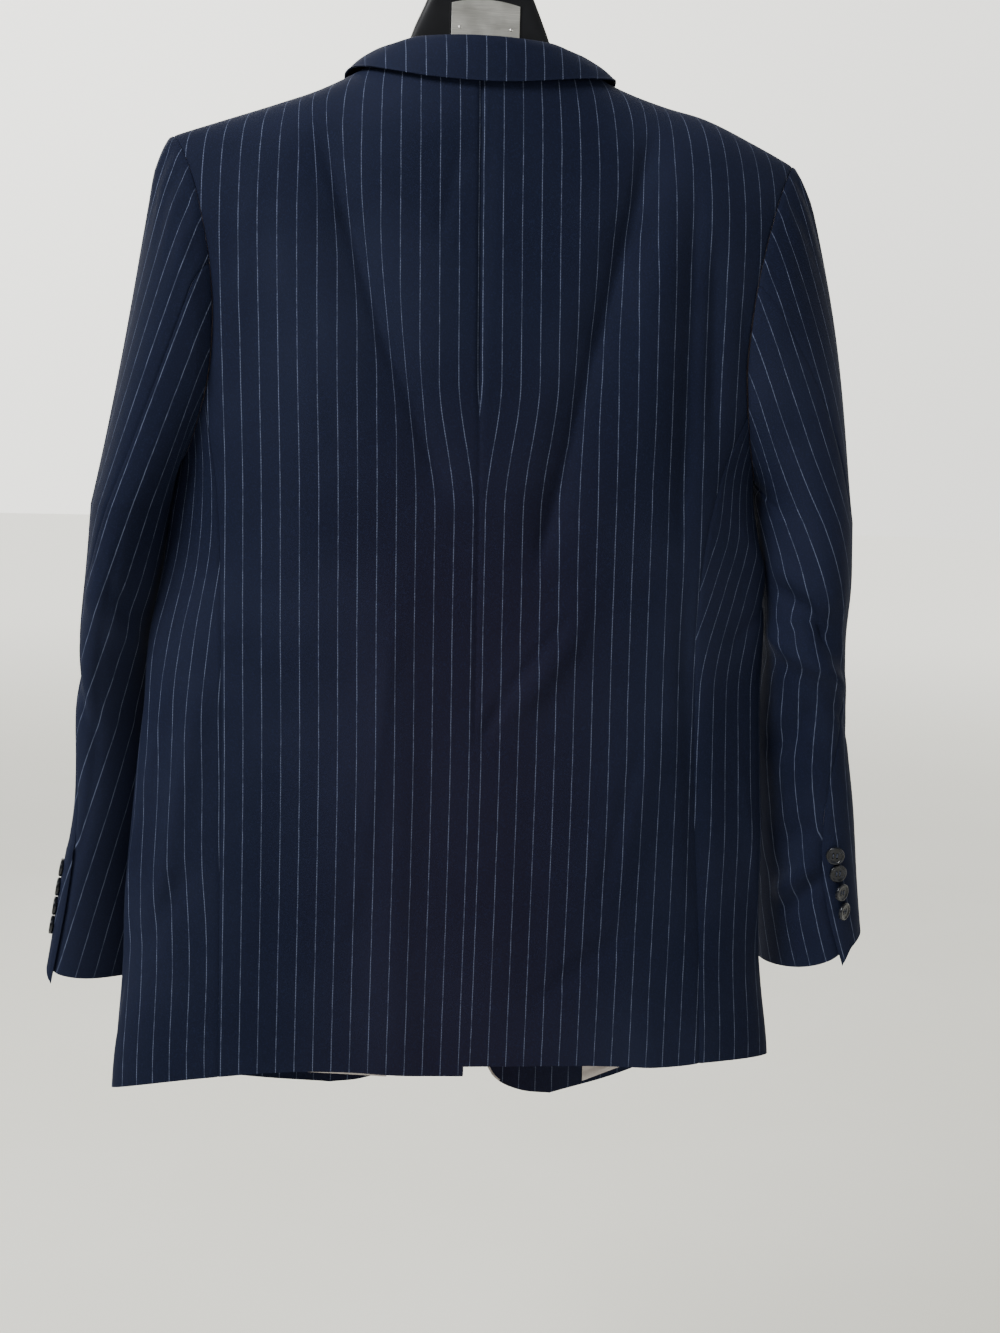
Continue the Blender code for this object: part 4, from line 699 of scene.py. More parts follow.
for side, wool in ((-1, wool_left), (1, wool_right)):
    cut = back_cut(side)
    x, z = cut[..., 0], cut[..., 1]
    outer, normals = body(x, z, -1)
    away = np.abs(x - centre_x(z))
    pucker = PUCKER * np.sin(z * 2 * math.pi / PUCKER_PITCH) * np.exp(-(away / PUCKER_REACH) ** 2)
    outer = outer + normals * (pucker * ease((z - VENT_TOP_Z) / 0.02))[..., None]
    sunk = ease((z - VENT_TOP_Z + 0.01) / 0.02) * (CENTRE_DIP + UPPER_DIP * ease((z + 0.40) / 0.06))
    outer = outer - normals * (sunk * np.exp(-(away / CENTRE_REACH) ** 2))[..., None]
    outer = pressed(outer, normals, "l")
    inner = outer - normals * THICK
    arc = arc_from(centre_x(z), x, z, np.full(x.shape, -1)) + drag_pull(x, z, side)
    made = cloth_wall(f"back_{NAME[side]}_cloth", pulled_in(outer, "lbt"), pulled_in(inner, "lbt"),
                      np.stack([arc, z], axis=-1), (wool, satin), z[:, 40] > LINED_Z["back"])
    dress(made, f"back_{NAME[side]}")


# ---- The vent's underlap -----------------------------------------------------------------------
# The right back carries a plain strip of the same worsted under the left one's edge, from the
# vent's top to the hem, so that the vent stays shut when the jacket hangs.
UNDERLAP_X = (-0.030, 0.013)

v, u = spaced(8.0, 40), spaced(3.0, 12)
x = np.broadcast_to(UNDERLAP_X[0] + (UNDERLAP_X[1] - UNDERLAP_X[0]) * u[None] / 3.0, (len(v), len(u)))
low, high = BACK_HEM_Z[1] + 0.002, VENT_TOP_Z + 0.008
z = np.broadcast_to((low + (high - low) * v / 8.0)[:, None], x.shape)
outer, normals = body(x, z, -1, -WALL - LAP)
arc = arc_from(centre_x(z), x, z, np.full(x.shape, -1))
made = cloth_wall("vent_underlap_cloth", pulled_in(outer), pulled_in(outer - normals * THICK),
                  np.stack([arc, z], axis=-1), (wool_right, satin))
dress(made, "vent_underlap")


# ---- The side panels ---------------------------------------------------------------------------
# One narrow panel under each arm, from the hem to the armhole. The right one is pushed out above
# the waist by the sleeve that lies on it, the left one hangs in a long slanting fold.
FRONT_JOIN = 150
UNDER_ARMHOLE = (-126, -144, -162, -180, -195, -210)
FRONT_HEM_SIDE_Z = {-1: -0.9330, 1: -0.9230}
SIDE_SEAM_FRONT = {      # z, x
    -1: ((-0.980, -0.2100), (-0.700, -0.2040), (-0.560, -0.1950), (-0.470, -0.1990), (-0.4156, -0.2085)),
    1: ((-0.980, 0.2060), (-0.700, 0.1840), (-0.560, 0.1900), (-0.470, 0.2040), (-0.4154, 0.2185)),
}
# creases over turning angle in degrees and z: both ends, half width in metres, height outwards
SIDE_CREASES = {
    -1: ((62, -0.600, 84, -0.790, 0.007, 0.0018), (70, -0.770, 92, -0.900, 0.008, -0.0014),
         (58, -0.500, 72, -0.600, 0.008, -0.0012), (100, -0.560, 112, -0.800, 0.010, 0.0014),
         (84, -0.430, 84, -0.600, 0.030, 0.0060)),
    1: ((84, -0.470, 84, -0.790, 0.036, 0.0105), (60, -0.470, 96, -0.520, 0.010, 0.0020),
        (58, -0.560, 92, -0.520, 0.007, -0.0018),
        (64, -0.650, 88, -0.860, 0.008, 0.0014), (100, -0.600, 92, -0.850, 0.010, -0.0012)),
}

ROUND_STEP = 0.0022      # metres round the side for a degree of turn
LEFT_SAG = 0.012         # how far the left panel's hem hangs down in the middle
# the stripes' even slant, 0 at one height; then how far they lean, and between which heights
SIDE_SLANT, SIDE_SLANT_Z = 0.05, -0.6
SIDE_LEAN = {-1: (0.016, -0.470, -0.620), 1: (-0.038, -0.440, -0.600)}


def turn_to_x(turn, z):
    """x of a level section at a turning angle: half width times |sin|^(2/3), signed by the side."""
    side = np.sign(np.sin(turn))
    return side * half_width(side, z) * np.abs(np.sin(turn)) ** (2.0 / 3.0)


def x_to_turn(x, z, face):
    """The turning angle of a point: 0 at the centre back, +-90 at the sides, 180 in front."""
    angle = np.arcsin(np.clip(np.abs(x / half_width(x, z)), 0, 1) ** 1.5)
    return np.sign(x) * np.where(face > 0, math.pi - angle, angle)


def side_cut(side):
    """Turning angle and z of a side panel's grid: 12 marks up and 5 round the side."""
    v, u = spaced(SEAM_MARKS, 132), spaced(5.0, 40)
    edges = []
    for table, join, face, hem in (
            (SIDE_SEAM_BACK[side], BACK_JOIN, -1, join_heights(side, SIDE_SEAM_BACK[side], BACK_JOIN)[0]),
            (SIDE_SEAM_FRONT[side], FRONT_JOIN, 1, FRONT_HEM_SIDE_Z[side])):
        edge = side_seam(side, table, join, hem, v)
        edges.append(np.stack([x_to_turn(edge[:, 0], edge[:, 1], face), edge[:, 1]], axis=-1))
    back_edge, front_edge = edges
    x, z, face = armhole(side, np.interp(u, np.arange(6), UNDER_ARMHOLE))
    top = np.stack([x_to_turn(x, z, face), z], axis=-1)
    share = u / 5.0
    hem_z = back_edge[0, 1] + (front_edge[0, 1] - back_edge[0, 1]) * share ** 1.5
    if side < 0:
        hem_z = hem_z - LEFT_SAG * np.sin(share * math.pi)
    bottom = np.stack([back_edge[0, 0] + (front_edge[0, 0] - back_edge[0, 0]) * share, hem_z], axis=-1)
    top[0], top[-1] = back_edge[-1], front_edge[-1]
    return patch(bottom, top, back_edge, front_edge, share, v / SEAM_MARKS)


wool_side = {-1: worsted("worsted_side_left", first_stripe=0.0050),
             1: worsted("worsted_side_right", first_stripe=0.0040)}
for side in (-1, 1):
    cut = side_cut(side)
    turn, z = cut[..., 0], cut[..., 1]
    face = np.where(np.cos(turn) > 0, -1, 1)
    outer, normals = body(turn_to_x(turn, z), z, face)
    degrees = np.abs(np.degrees(turn))
    height = folds_round(degrees, z, SIDE_CREASES[side], ROUND_STEP)
    height = height * ease(edge_distance(outer, "lr") / 0.02)
    outer = pressed(outer + normals * height[..., None], normals, "lr")
    arc = run_along(outer, 1)
    lean, start_z, end_z = SIDE_LEAN[side]
    arc = (arc - arc[:, -1:] * 0.5 - SIDE_SLANT * (z - SIDE_SLANT_Z)
           - lean * ease((start_z - z) / (start_z - end_z)))
    made = cloth_wall(f"side_panel_{NAME[side]}_cloth", pulled_in(outer),
                      pulled_in(outer - normals * THICK), np.stack([arc, z], axis=-1),
                      (wool_side[side], satin), z[:, 20] > LINED_Z["side"])
    dress(made, f"side_panel_{NAME[side]}")


# ---- The fronts --------------------------------------------------------------------------------
# Canvassed worsted, the left over the right, with the front edge cut away in a curve below the
# buttons. The edge is pressed thin, and the stripe runs straight down beside it.
FRONT_ARMHOLE = (150, 137, 124, 112, 98, 84, 70, 56, 42, 28, 15, 0)
FRONT_NECK_SHARES = (1.0, 0.62, 0.30, 0.09, 0.0)
FRONT_EDGE = {           # x, z from the hem up: the rounded corner, the cutaway, the button stand
    -1: ((-0.100, -0.9490), (-0.074, -0.9470), (-0.050, -0.9390), (-0.035, -0.9250), (-0.027, -0.9080),
         (-0.018, -0.8500), (-0.004, -0.7700), (0.012, -0.6900), (0.020, -0.6200), (0.021, -0.5500)),
    1: ((0.0900, -0.9640), (0.0649, -0.9610), (0.0500, -0.9550), (0.0400, -0.9470), (0.0330, -0.9350),
        (0.0270, -0.8700), (0.0140, -0.7800), (-0.003, -0.6900), (-0.012, -0.6200), (-0.015, -0.5500)),
}
ROLL_TOP = {-1: (-0.0650, -0.1750), 1: (0.0690, -0.1730)}
GORGE = {-1: (-0.0705, -0.1710), 1: (0.0745, -0.1690)}


def along_curve(points, at):
    """A smooth curve through the points, taken at shares 0 to 1 of its chord length."""
    points = np.asarray(points, float)
    run = run_along(points, 0)
    return np.stack([smooth(at * run[-1], run, points[:, k]) for k in range(points.shape[1])], axis=-1)


def tuck(x, z, side):
    """The wearer's right front lies under the left one: how far it is moved in."""
    if side < 0:
        return np.zeros(np.broadcast(x, z).shape)
    return -(WALL + LAP) * ease((0.060 - x) / 0.025) * ease((z + 0.985) / 0.03)


def front_hem(side, share):
    """x, z of the front hem, from the side seam to the start of the rounded corner."""
    x_side = float(read(SIDE_SEAM_FRONT[side], FRONT_HEM_SIDE_Z[side]))
    x_corner, z_corner = FRONT_EDGE[side][0]
    middle = ((x_side + x_corner) * 0.5, FRONT_HEM_SIDE_Z[side] * 0.40 + z_corner * 0.60)
    return along_curve([(x_side, FRONT_HEM_SIDE_Z[side]), middle, (x_corner, z_corner)], share)


def front_cut(side):
    """x, z of a front's grid: 23 marks up the side seam and armhole, and up the front edge, the
    roll line and the neck; 7 across."""
    v, u = spaced(23.0, 184), spaced(7.0, 63)
    low, high = v[v <= SEAM_MARKS], v[v > SEAM_MARKS]
    outer = np.vstack([side_seam(side, SIDE_SEAM_FRONT[side], FRONT_JOIN, FRONT_HEM_SIDE_Z[side], low),
                       armhole_edge(side, high - SEAM_MARKS, FRONT_ARMHOLE)])
    corner = along_curve(FRONT_EDGE[side][:5], v[v <= 6.0] / 6.0)
    straight = along_curve(FRONT_EDGE[side][4:], (v[(v > 6.0) & (v <= 14.0)] - 6.0) / 8.0)
    start, top = np.array(FRONT_EDGE[side][-1]), np.array(ROLL_TOP[side])
    on_roll = (v[(v > 14.0) & (v <= 18.0)] - 14.0)[:, None] / 4.0
    roll = start + (top - start) * on_roll
    marks = v[v > 18.0] - 18.0
    shares = np.interp(marks, np.arange(6), (1.16,) + FRONT_NECK_SHARES)[:, None]
    shares = np.where(marks[:, None] < 1.0, 1.0, shares)
    neck = np.array(GORGE[side]) * shares + np.array(NECK_SIDE[side]) * (1 - shares)
    first = marks < 1.0
    neck[first] = top + (np.array(GORGE[side]) - top) * marks[first][:, None]
    inner = np.vstack([corner, straight, roll, neck])
    x_end = outer[-1, 0]
    shoulder_x = x_end + (NECK_SIDE[side][0] - x_end) * u / 7.0
    shoulder = np.stack([shoulder_x, shoulder_z(shoulder_x)], axis=-1)
    inner[-1] = shoulder[-1]
    bottom = front_hem(side, u / 7.0)
    bottom[0], bottom[-1] = outer[0], inner[0]
    return patch(bottom, shoulder, outer, inner, u / 7.0, v / 23.0)


wool_front = {-1: worsted("worsted_front_left", first_stripe=0.0010),
              1: worsted("worsted_front_right", first_stripe=0.0050)}
for side in (-1, 1):
    cut = front_cut(side)
    x, z = cut[..., 0], cut[..., 1]
    outer, normals = body(x, z, 1, tuck(x, z, side))
    outer = pressed(outer, normals, "l")
    outer = pressed(outer, normals, "rb", dip=0.0004, reach=0.0020)
    arc = arc_from(np.zeros_like(x), x, z, np.full(x.shape, 1))
    made = cloth_wall(f"forepart_{NAME[side]}_cloth", pulled_in(outer), pulled_in(outer - normals * THICK),
                      np.stack([arc, z], axis=-1), (wool_front[side], satin),
                      z[:, 30] > LINED_Z["front"])
    dress(made, f"forepart_{NAME[side]}")


# ---- The sleeves -------------------------------------------------------------------------------
# Two-piece sleeves, eased into the armhole over a soft roll, with the hind seam ending in a lapped
# vent above the cuff. The left one hangs smooth, the right one is crushed behind the elbow.
# z, outermost x, half thickness, half length, turn in degrees, middle y, hind seam's angle
SLEEVE_ROWS = {
    -1: (
        (-0.462, -0.2905, 0.0315, 0.061, 0, 0.010, -64),
        (-0.510, -0.2935, 0.0300, 0.066, 10, 0.022, -58),
        (-0.560, -0.2985, 0.0280, 0.069, 20, 0.038, -58),
        (-0.620, -0.3035, 0.0270, 0.070, 30, 0.052, -62),
        (-0.700, -0.3050, 0.0265, 0.069, 38, 0.056, -84),
        (-0.770, -0.3172, 0.0260, 0.067, 43, 0.054, -99),
        (-0.850, -0.3305, 0.0255, 0.065, 47, 0.050, -98),
    ),
    1: (
        (-0.462, 0.3160, 0.0400, 0.060, 0, 0.010, -34),
        (-0.510, 0.3176, 0.0370, 0.063, 0, 0.012, -30),
        (-0.560, 0.3190, 0.0350, 0.062, -5, 0.016, -28),
        (-0.620, 0.3196, 0.0345, 0.060, 10, 0.022, -68),
        (-0.700, 0.3325, 0.0350, 0.058, 17, 0.028, -113),
        (-0.770, 0.3420, 0.0360, 0.056, 20, 0.031, -118),
        (-0.850, 0.3539, 0.0360, 0.0555, 25, 0.034, -103),
    ),
}
# seam angle, z, seam angle, z, half width in metres, height outwards: the large folds, then fine ones
SLEEVE_FOLDS = {
    -1: ((-60, -0.520, -150, -0.570, 0.012, 0.0040), (-20, -0.560, -110, -0.640, 0.012, -0.0040)),
    1: ((-140, -0.490, -58, -0.548, 0.013, -0.0060), (-160, -0.550, -62, -0.590, 0.010, 0.0060),
        (-165, -0.655, -110, -0.610, 0.012, -0.0045), (-128, -0.742, -172, -0.778, 0.009, 0.0050),
        (-170, -0.732, -125, -0.712, 0.012, -0.0035), (-150, -0.515, -60, -0.562, 0.0085, -0.0080),
        (-150, -0.493, -62, -0.536, 0.012, 0.0050), (-120, -0.754, -165, -0.790, 0.0065, -0.0042)),
}
SLEEVE_CREASES = {
    -1: ((-70, -0.500, -128, -0.540, 0.006, -0.0014), (-96, -0.470, -112, -0.610, 0.007, -0.0012),
         (-118, -0.600, -98, -0.780, 0.008, -0.0012), (20, -0.560, -30, -0.640, 0.010, -0.0012),
         (40, -0.500, 60, -0.640, 0.012, 0.0012), (90, -0.560, 140, -0.600, 0.008, -0.0020),
         (80, -0.620, 130, -0.660, 0.008, 0.0016), (-80, -0.640, -60, -0.820, 0.010, 0.0009)),
    1: ((-120, -0.520, -66, -0.560, 0.005, -0.0022), (-110, -0.565, -50, -0.600, 0.006, 0.0020),
        (-90, -0.600, -40, -0.640, 0.006, -0.0016), (-60, -0.520, -30, -0.620, 0.007, 0.0016),
        (-48, -0.540, -20, -0.660, 0.006, -0.0014), (-130, -0.640, -80, -0.690, 0.007, -0.0014),
        (-110, -0.700, -95, -0.830, 0.008, 0.0010), (90, -0.560, 140, -0.600, 0.008, -0.0020),
        (80, -0.620, 130, -0.660, 0.008, 0.0016), (20, -0.520, 30, -0.700, 0.012, 0.0010)),
}
ARM_RADIUS = 0.055       # for the folds' places round the arm
CUFF_Z = {-1: -0.8430, 1: -0.8400}
CUFF_RISE = {-1: 0.10, 1: 0.31}
CUFF_CURL = 3.0
CUFF_LEVEL_X = 0.285
CUFF_POINT = 0.0090
HEAD_OUT = {-1: 0.0095, 1: 0.0080}
UPPER_SWELL = {-1: -0.0010, 1: 0.0180}
HEAD_Z = -0.462
HIND_START, FORE_START = -78.0, 112.0
RIPPLE = 0.0007          # the eased cloth's fine waves round the sleeve's head
RIPPLE_WAVES = 22.0
LAP_REACH = 0.012        # width of the step where the cuff's vent laps
TOP_OUT, UNDER_IN = 0.0016, 0.0006
FLY = 0.0075             # how far the under sleeve runs on beneath the vent
HEM_FALL = 1.93          # fall below which the cuff's turned-up hem shows inside
VENT_LOW = 0.72          # fall at which the cuff's vent begins, counted from 1 at the sleeve's head


def sleeve_section(side, z, angle):
    """Point of the sleeve's oval section: its long axis turns inwards as the sleeve falls."""
    rows = SLEEVE_ROWS[side][::-1]
    outermost, thin, long, turned, middle_y = (read(rows, z, k)
                                               for k in range(1, 6))
    turned = np.radians(turned)
    reach = np.sqrt((thin * np.cos(turned)) ** 2 + (long * np.sin(turned)) ** 2)
    middle_x = outermost - side * reach
    out, front = thin * np.cos(angle), long * np.sin(angle)
    x = middle_x + side * np.cos(turned) * out - side * np.sin(turned) * front
    y = middle_y + np.sin(turned) * out + np.cos(turned) * front
    return np.stack(np.broadcast_arrays(x, y, z), axis=-1)


def hind_angle(side, z):
    """The hind seam's angle round the section at a height."""
    rows = SLEEVE_ROWS[side][::-1]
    return read(rows, z, 6)


def under_share(start_angle):
    """0 over the top and sides of the armhole, 1 where the sleeve doubles back under the arm."""
    return ease((np.abs(start_angle) - 72.0) / 30.0)


def cuff_z(side, share):
    """Height of the cuff's hem: square to the arm, so it rises on a sleeve that slopes outwards."""
    angle = np.radians(hind_angle(side, CUFF_Z[side]) + share * 360.0)
    reach = np.abs(sleeve_section(side, CUFF_Z[side], angle)[..., 0]) - CUFF_LEVEL_X
    return CUFF_Z[side] + CUFF_RISE[side] * reach + CUFF_CURL * np.maximum(reach, 0.0) ** 2


def sleeve_form(side, share, start_angle, fall):
    """The sleeve's outer form: share runs round from the hind seam, fall is 0 at the armhole, 1 where
    the sleeve hangs free and 2 at the cuff. The head blends the armhole's ring into the oval."""
    share, start_angle, fall = np.broadcast_arrays(share, start_angle, fall)
    x, z, face = armhole(side, start_angle)
    top, _ = body(x, z, face, LAP * under_share(start_angle))
    z_low = HEAD_Z + (cuff_z(side, share) - HEAD_Z) * np.clip(fall - 1.0, 0.0, 1.0)
    low = sleeve_section(side, z_low, np.radians(hind_angle(side, z_low) + share * 360.0))
    blend = np.clip(fall, 0.0, 1.0)[..., None]
    points = top * (1 - blend) + low * blend
    lift = np.minimum(blend[..., 0] / 0.1, 1.0) ** 0.5 * (1 - blend[..., 0])
    outwards = (0.5 + 0.5 * np.cos(np.radians(start_angle))) ** 0.7
    sideways = 0.66 * np.sin(np.radians(start_angle))
    swell = UPPER_SWELL[side] * np.sin(math.pi * blend[..., 0])
    points[..., 0] += side * (HEAD_OUT[side] * lift + swell) * outwards
    points[..., 1] += HEAD_OUT[side] * lift * sideways
    return points


def sleeve_creases(side, share, z):
    """Folds laid out over height and the angle round the arm."""
    angle = hind_angle(side, z) + share * 360.0
    angle = np.where(angle > 180, angle - 360, angle)
    return folds_round(angle, z, SLEEVE_FOLDS[side] + SLEEVE_CREASES[side], ARM_RADIUS * math.pi / 180)


def ring_normals(ring, side):
    """Normals of a closed sleeve grid: the cross product of its steps round and down."""
    turn = np.roll(ring, -1, axis=1) - np.roll(ring, 1, axis=1)
    return unit(np.cross(np.gradient(ring, axis=0), turn)) * side


def sleeve_ring(side, starts, falls):
    """Points and normals of the whole sleeve, with its folds and the sunken armhole seam."""
    starts = np.asarray(starts, float)
    shares = (starts - HIND_START) / 360.0
    wrapped = (starts + 180.0) % 360.0 - 180.0
    ring = sleeve_form(side, shares[None], wrapped[None], falls[:, None])
    normals = ring_normals(ring, side)
    height = sleeve_creases(side, shares[None], ring[..., 2])
    height = height * ease((falls - 0.8) / 0.4)[:, None] * ease((1.97 - falls) / 0.1)[:, None]
    ripple = RIPPLE * np.sin(np.radians(wrapped) * RIPPLE_WAVES) * ease((100.0 - np.abs(wrapped)) / 40.0)
    ripple = ripple[None] * (ease(falls / 0.03) * ease((0.30 - falls) / 0.26))[:, None]
    ring = ring + normals * (height + ripple)[..., None]
    return ring, ring_normals(ring, side)


# how far the stripes lean outwards down the arm, as seen square from behind: z, x
STRIPE_LEAN = {
    -1: ((-1.00, -0.290), (-0.90, -0.262), (-0.70, -0.202), (-0.50, -0.131), (-0.10, 0.019)),
    1: ((-1.00, 0.280), (-0.90, 0.240), (-0.80, 0.204), (-0.66, 0.172), (-0.60, 0.170), (-0.53, 0.158),
        (-0.40, 0.105), (-0.10, -0.021)),
}
STRIPE_SLANT = 0.93      # cosine of the lean


def sleeve_cut(side, ring, starts, falls):
    """Cross-grain coordinate of the whole sleeve: level length round it less the stripes' lean, set
    in each row so that it equals x less the lean where the sleeve faces straight back. The change of
    lean along a row counts in full up to 50 degrees from there and fades out by 100 degrees."""
    closed = np.concatenate([ring, ring[:, :1]], axis=1)
    steps = np.diff(closed, axis=1)
    lean = read(STRIPE_LEAN[side], closed[..., 2])
    turns = np.append(starts, starts[0] + 360.0)
    from_back = np.abs((0.5 * (turns[1:] + turns[:-1]) + 270.0) % 360.0 - 180.0)
    share = 1.0 - ease((from_back - 50.0) / 50.0)
    gains = STRIPE_SLANT * (side * np.hypot(steps[..., 0], steps[..., 1]) - share * np.diff(lean, axis=1))
    total = np.concatenate([np.zeros_like(gains[:, :1]), np.cumsum(gains, axis=1)], axis=1)
    shares = (np.append(starts, starts[0] + 360.0) - HIND_START) / 360.0
    fore = len(top_starts) - 1
    order = np.r_[fore:len(shares), 1:fore + 1]
    round_from_hind = np.r_[shares[fore:] - 1.0, shares[1:fore + 1]]
    unrolled = np.concatenate([total[:, fore:] - total[:, -1:], total[:, 1:fore + 1]], axis=1)
    planar = STRIPE_SLANT * (closed[..., 0] - lean)[:, order]
    blend = np.clip(falls, 0.0, 1.0)
    facing_back = ((-90.0 - HIND_START) * (1 - blend)
                   + (-90.0 - hind_angle(side, closed[:, 0, 2])) * blend) / 360.0
    start = np.array([np.interp(at, round_from_hind, value - other)
                      for at, value, other in zip(facing_back, planar, unrolled)])
    return total + start[:, None], unrolled[:, :len(shares) - fore] + start[:, None]


wool_sleeve = {(side, part): worsted(f"worsted_{part}_sleeve_{NAME[side]}", first_stripe=0.003)
               for side in (-1, 1) for part in ("top", "under")}
falls = np.concatenate([[0.0, 0.004, 0.010, 0.018, 0.030, 0.045, 0.065, 0.09, 0.12],
                        np.linspace(0.16, 1.0, 24), 1.0 + spaced(1.0, 96)[1:]])
top_starts = HIND_START + spaced(FORE_START - HIND_START, 92)
under_starts = FORE_START + spaced(360.0 + HIND_START - FORE_START, 80)
all_starts = np.r_[top_starts, under_starts[1:-1]]
count = len(top_starts)
below_vent = ease((falls - 1.0 - VENT_LOW) / 0.02)[:, None]
for side in (-1, 1):
    ring, normals = sleeve_ring(side, all_starts, falls)
    cut_top, cut_under = sleeve_cut(side, ring, all_starts, falls)
    for part in ("top", "under"):
        order = np.arange(count) if part == "top" else np.r_[count - 1:ring.shape[1], 0]
        outer, facing = ring[:, order], normals[:, order]
        outer = pressed(outer, facing, "lr")
        if part == "top":
            # below the vent's head the top sleeve laps over the under sleeve
            lapped = below_vent * np.exp(-(edge_distance(outer, "l") / LAP_REACH) ** 2)
            outer = outer + facing * (TOP_OUT * lapped)[..., None]
        else:
            lapped = below_vent * np.exp(-(edge_distance(outer, "r") / LAP_REACH) ** 2)
            outer = outer - facing * (UNDER_IN * lapped)[..., None]
            # the fly under the vent: the edge runs on beneath the top sleeve
            turn = unit(outer[:, -1:] - outer[:, -4:-3])
            reach = (ease((falls - 1.0 - VENT_LOW + 0.03) / 0.03)[:, None]
                     * ease((np.arange(len(order)) - len(order) + 9) / 8.0))
            outer = outer + (turn - facing * 0.35) * (FLY * reach)[..., None]
        inner = outer - facing * THICK
        if part == "top":
            tip = (ease((falls - HEM_FALL) / (2.0 - HEM_FALL))[:, None]
                   * ease(1 - np.arange(count) / 14.0)[None])
            down = unit(outer[-1:] - outer[-2:-1])
            outer = outer + down * (CUFF_POINT * tip)[..., None]
            inner = inner + down * (CUFF_POINT * tip)[..., None]
        arc = cut_top[:, :count] if part == "top" else cut_under
        cut = np.stack([arc, -run_along(outer, 0)], axis=-1)
        made = cloth_wall(f"{part}_sleeve_{NAME[side]}_cloth", pulled_in(outer, "lr"),
                          pulled_in(inner, "lr"), cut,
                          (wool_sleeve[side, part], satin), falls < HEM_FALL)
        dress(made, f"{part}_sleeve_{NAME[side]}")


# ---- The inside of the fronts ------------------------------------------------------------------
# What shows below the back's hem: the right front's worsted facing, and the taupe satin lining of
# both fronts, felled by hand to the turned-up hem.
LINING_TOP_Z = -0.820
LINING_THICK = 0.0006
FACING_X = 0.1175
HEM_TURN = 0.0035
EDGE_INSET = 0.0015
INSIDE_SIZE = (73, 31)   # rows and columns of each grid
CORNER_SHARE = 0.6667    # share of the rows along the rounded corner


def hem_z_at(side, x):
    """Height of a front's hem at x, read off 200 points along it."""
    hem = front_hem(side, np.linspace(0, 1, 200))
    order = np.argsort(hem[:, 0])
    return float(np.interp(x, hem[order, 0], hem[order, 1]))


def inside_front(side, name, grid, thick, ease_in, materials):
    """A thin wall just under a front's solid wall: moved out by tuck - WALL - LAP, with the fold of
    ease that a felled edge has, a bell 3 mm above it."""
    x, z = grid[..., 0], grid[..., 1]
    outer, normals = body(x, z, 1, tuck(x, z, side) - WALL - LAP)
    rise = edge_distance(outer, "b")
    outer = outer - normals * (ease_in * np.exp(-((rise - 0.004) / 0.003) ** 2))[..., None]
    cut = np.stack([arc_from(np.zeros_like(x), x, z, np.full(x.shape, 1)), z], axis=-1)
    return cloth_wall(name, pulled_in(outer), pulled_in(outer - normals * thick), cut, materials)


v, u = (np.linspace(0, 1, size) for size in INSIDE_SIZE)
rounded = along_curve(FRONT_EDGE[1][:5], v[v <= CORNER_SHARE] / CORNER_SHARE)
corner_top = np.array(FRONT_EDGE[1][4])
on_straight = ((v[v > CORNER_SHARE] - CORNER_SHARE) / (1 - CORNER_SHARE))[:, None]
straight = corner_top + (np.array([0.0215, LINING_TOP_Z]) - corner_top) * on_straight
edge = np.vstack([rounded, straight]) + EDGE_INSET
low = np.array([FACING_X, hem_z_at(1, FACING_X) + EDGE_INSET])
inner_edge = low + (np.array([FACING_X, LINING_TOP_Z]) - low) * v[:, None]
bottom = inner_edge[0] + (edge[0] - inner_edge[0]) * u[:, None]
top = inner_edge[-1] + (edge[-1] - inner_edge[-1]) * u[:, None]
made = inside_front(1, "facing_right_cloth", patch(bottom, top, inner_edge, edge, u, v), THICK, 0.0,
                    (wool_front[1],))
dress(made, "facing_right")

for side, x0, x1 in ((-1, -0.1990, -0.0520), (1, FACING_X + 0.0005, 0.1960)):
    z0 = hem_z_at(side, x0) + HEM_TURN
    z1 = FRONT_EDGE[-1][0][1] + HEM_TURN if side < 0 else hem_z_at(side, x1) + HEM_TURN
    low = z0 + (z1 - z0) * u
    grid = np.stack([np.broadcast_to(x0 + (x1 - x0) * u, INSIDE_SIZE),
                     low + (LINING_TOP_Z - low) * v[:, None]], axis=-1)
    made = inside_front(side, f"lining_{NAME[side]}_cloth", grid, LINING_THICK, 0.0012, (satin,))
    dress(made, f"lining_{NAME[side]}")


# ---- The lapels --------------------------------------------------------------------------------
# The fronts turned back over a soft roll and cut with a notch. They lie on the chest, a little
# clear of it along the roll, and their stripe runs beside the outer edge.
ROLL = 0.0030
ROLL_REACH = 0.004       # width of the turn along the roll line
NOTCH_SHARE = 0.6        # where the notch lies along the gorge
# height of the roll line's lower end, then x, z of the outer edge from below, and of the notch
LAPEL = {
    -1: (-0.5460, ((0.0165, -0.5490), (-0.0200, -0.4700), (-0.0740, -0.3700), (-0.1080, -0.2900),
                   (-0.1270, -0.2270)), (-0.0885, -0.2045)),
    1: (-0.4540, ((0.0165, -0.4960), (0.0330, -0.4600), (0.0800, -0.3700), (0.1120, -0.2900),
                  (0.1310, -0.2230)), (0.0935, -0.2015)),
}

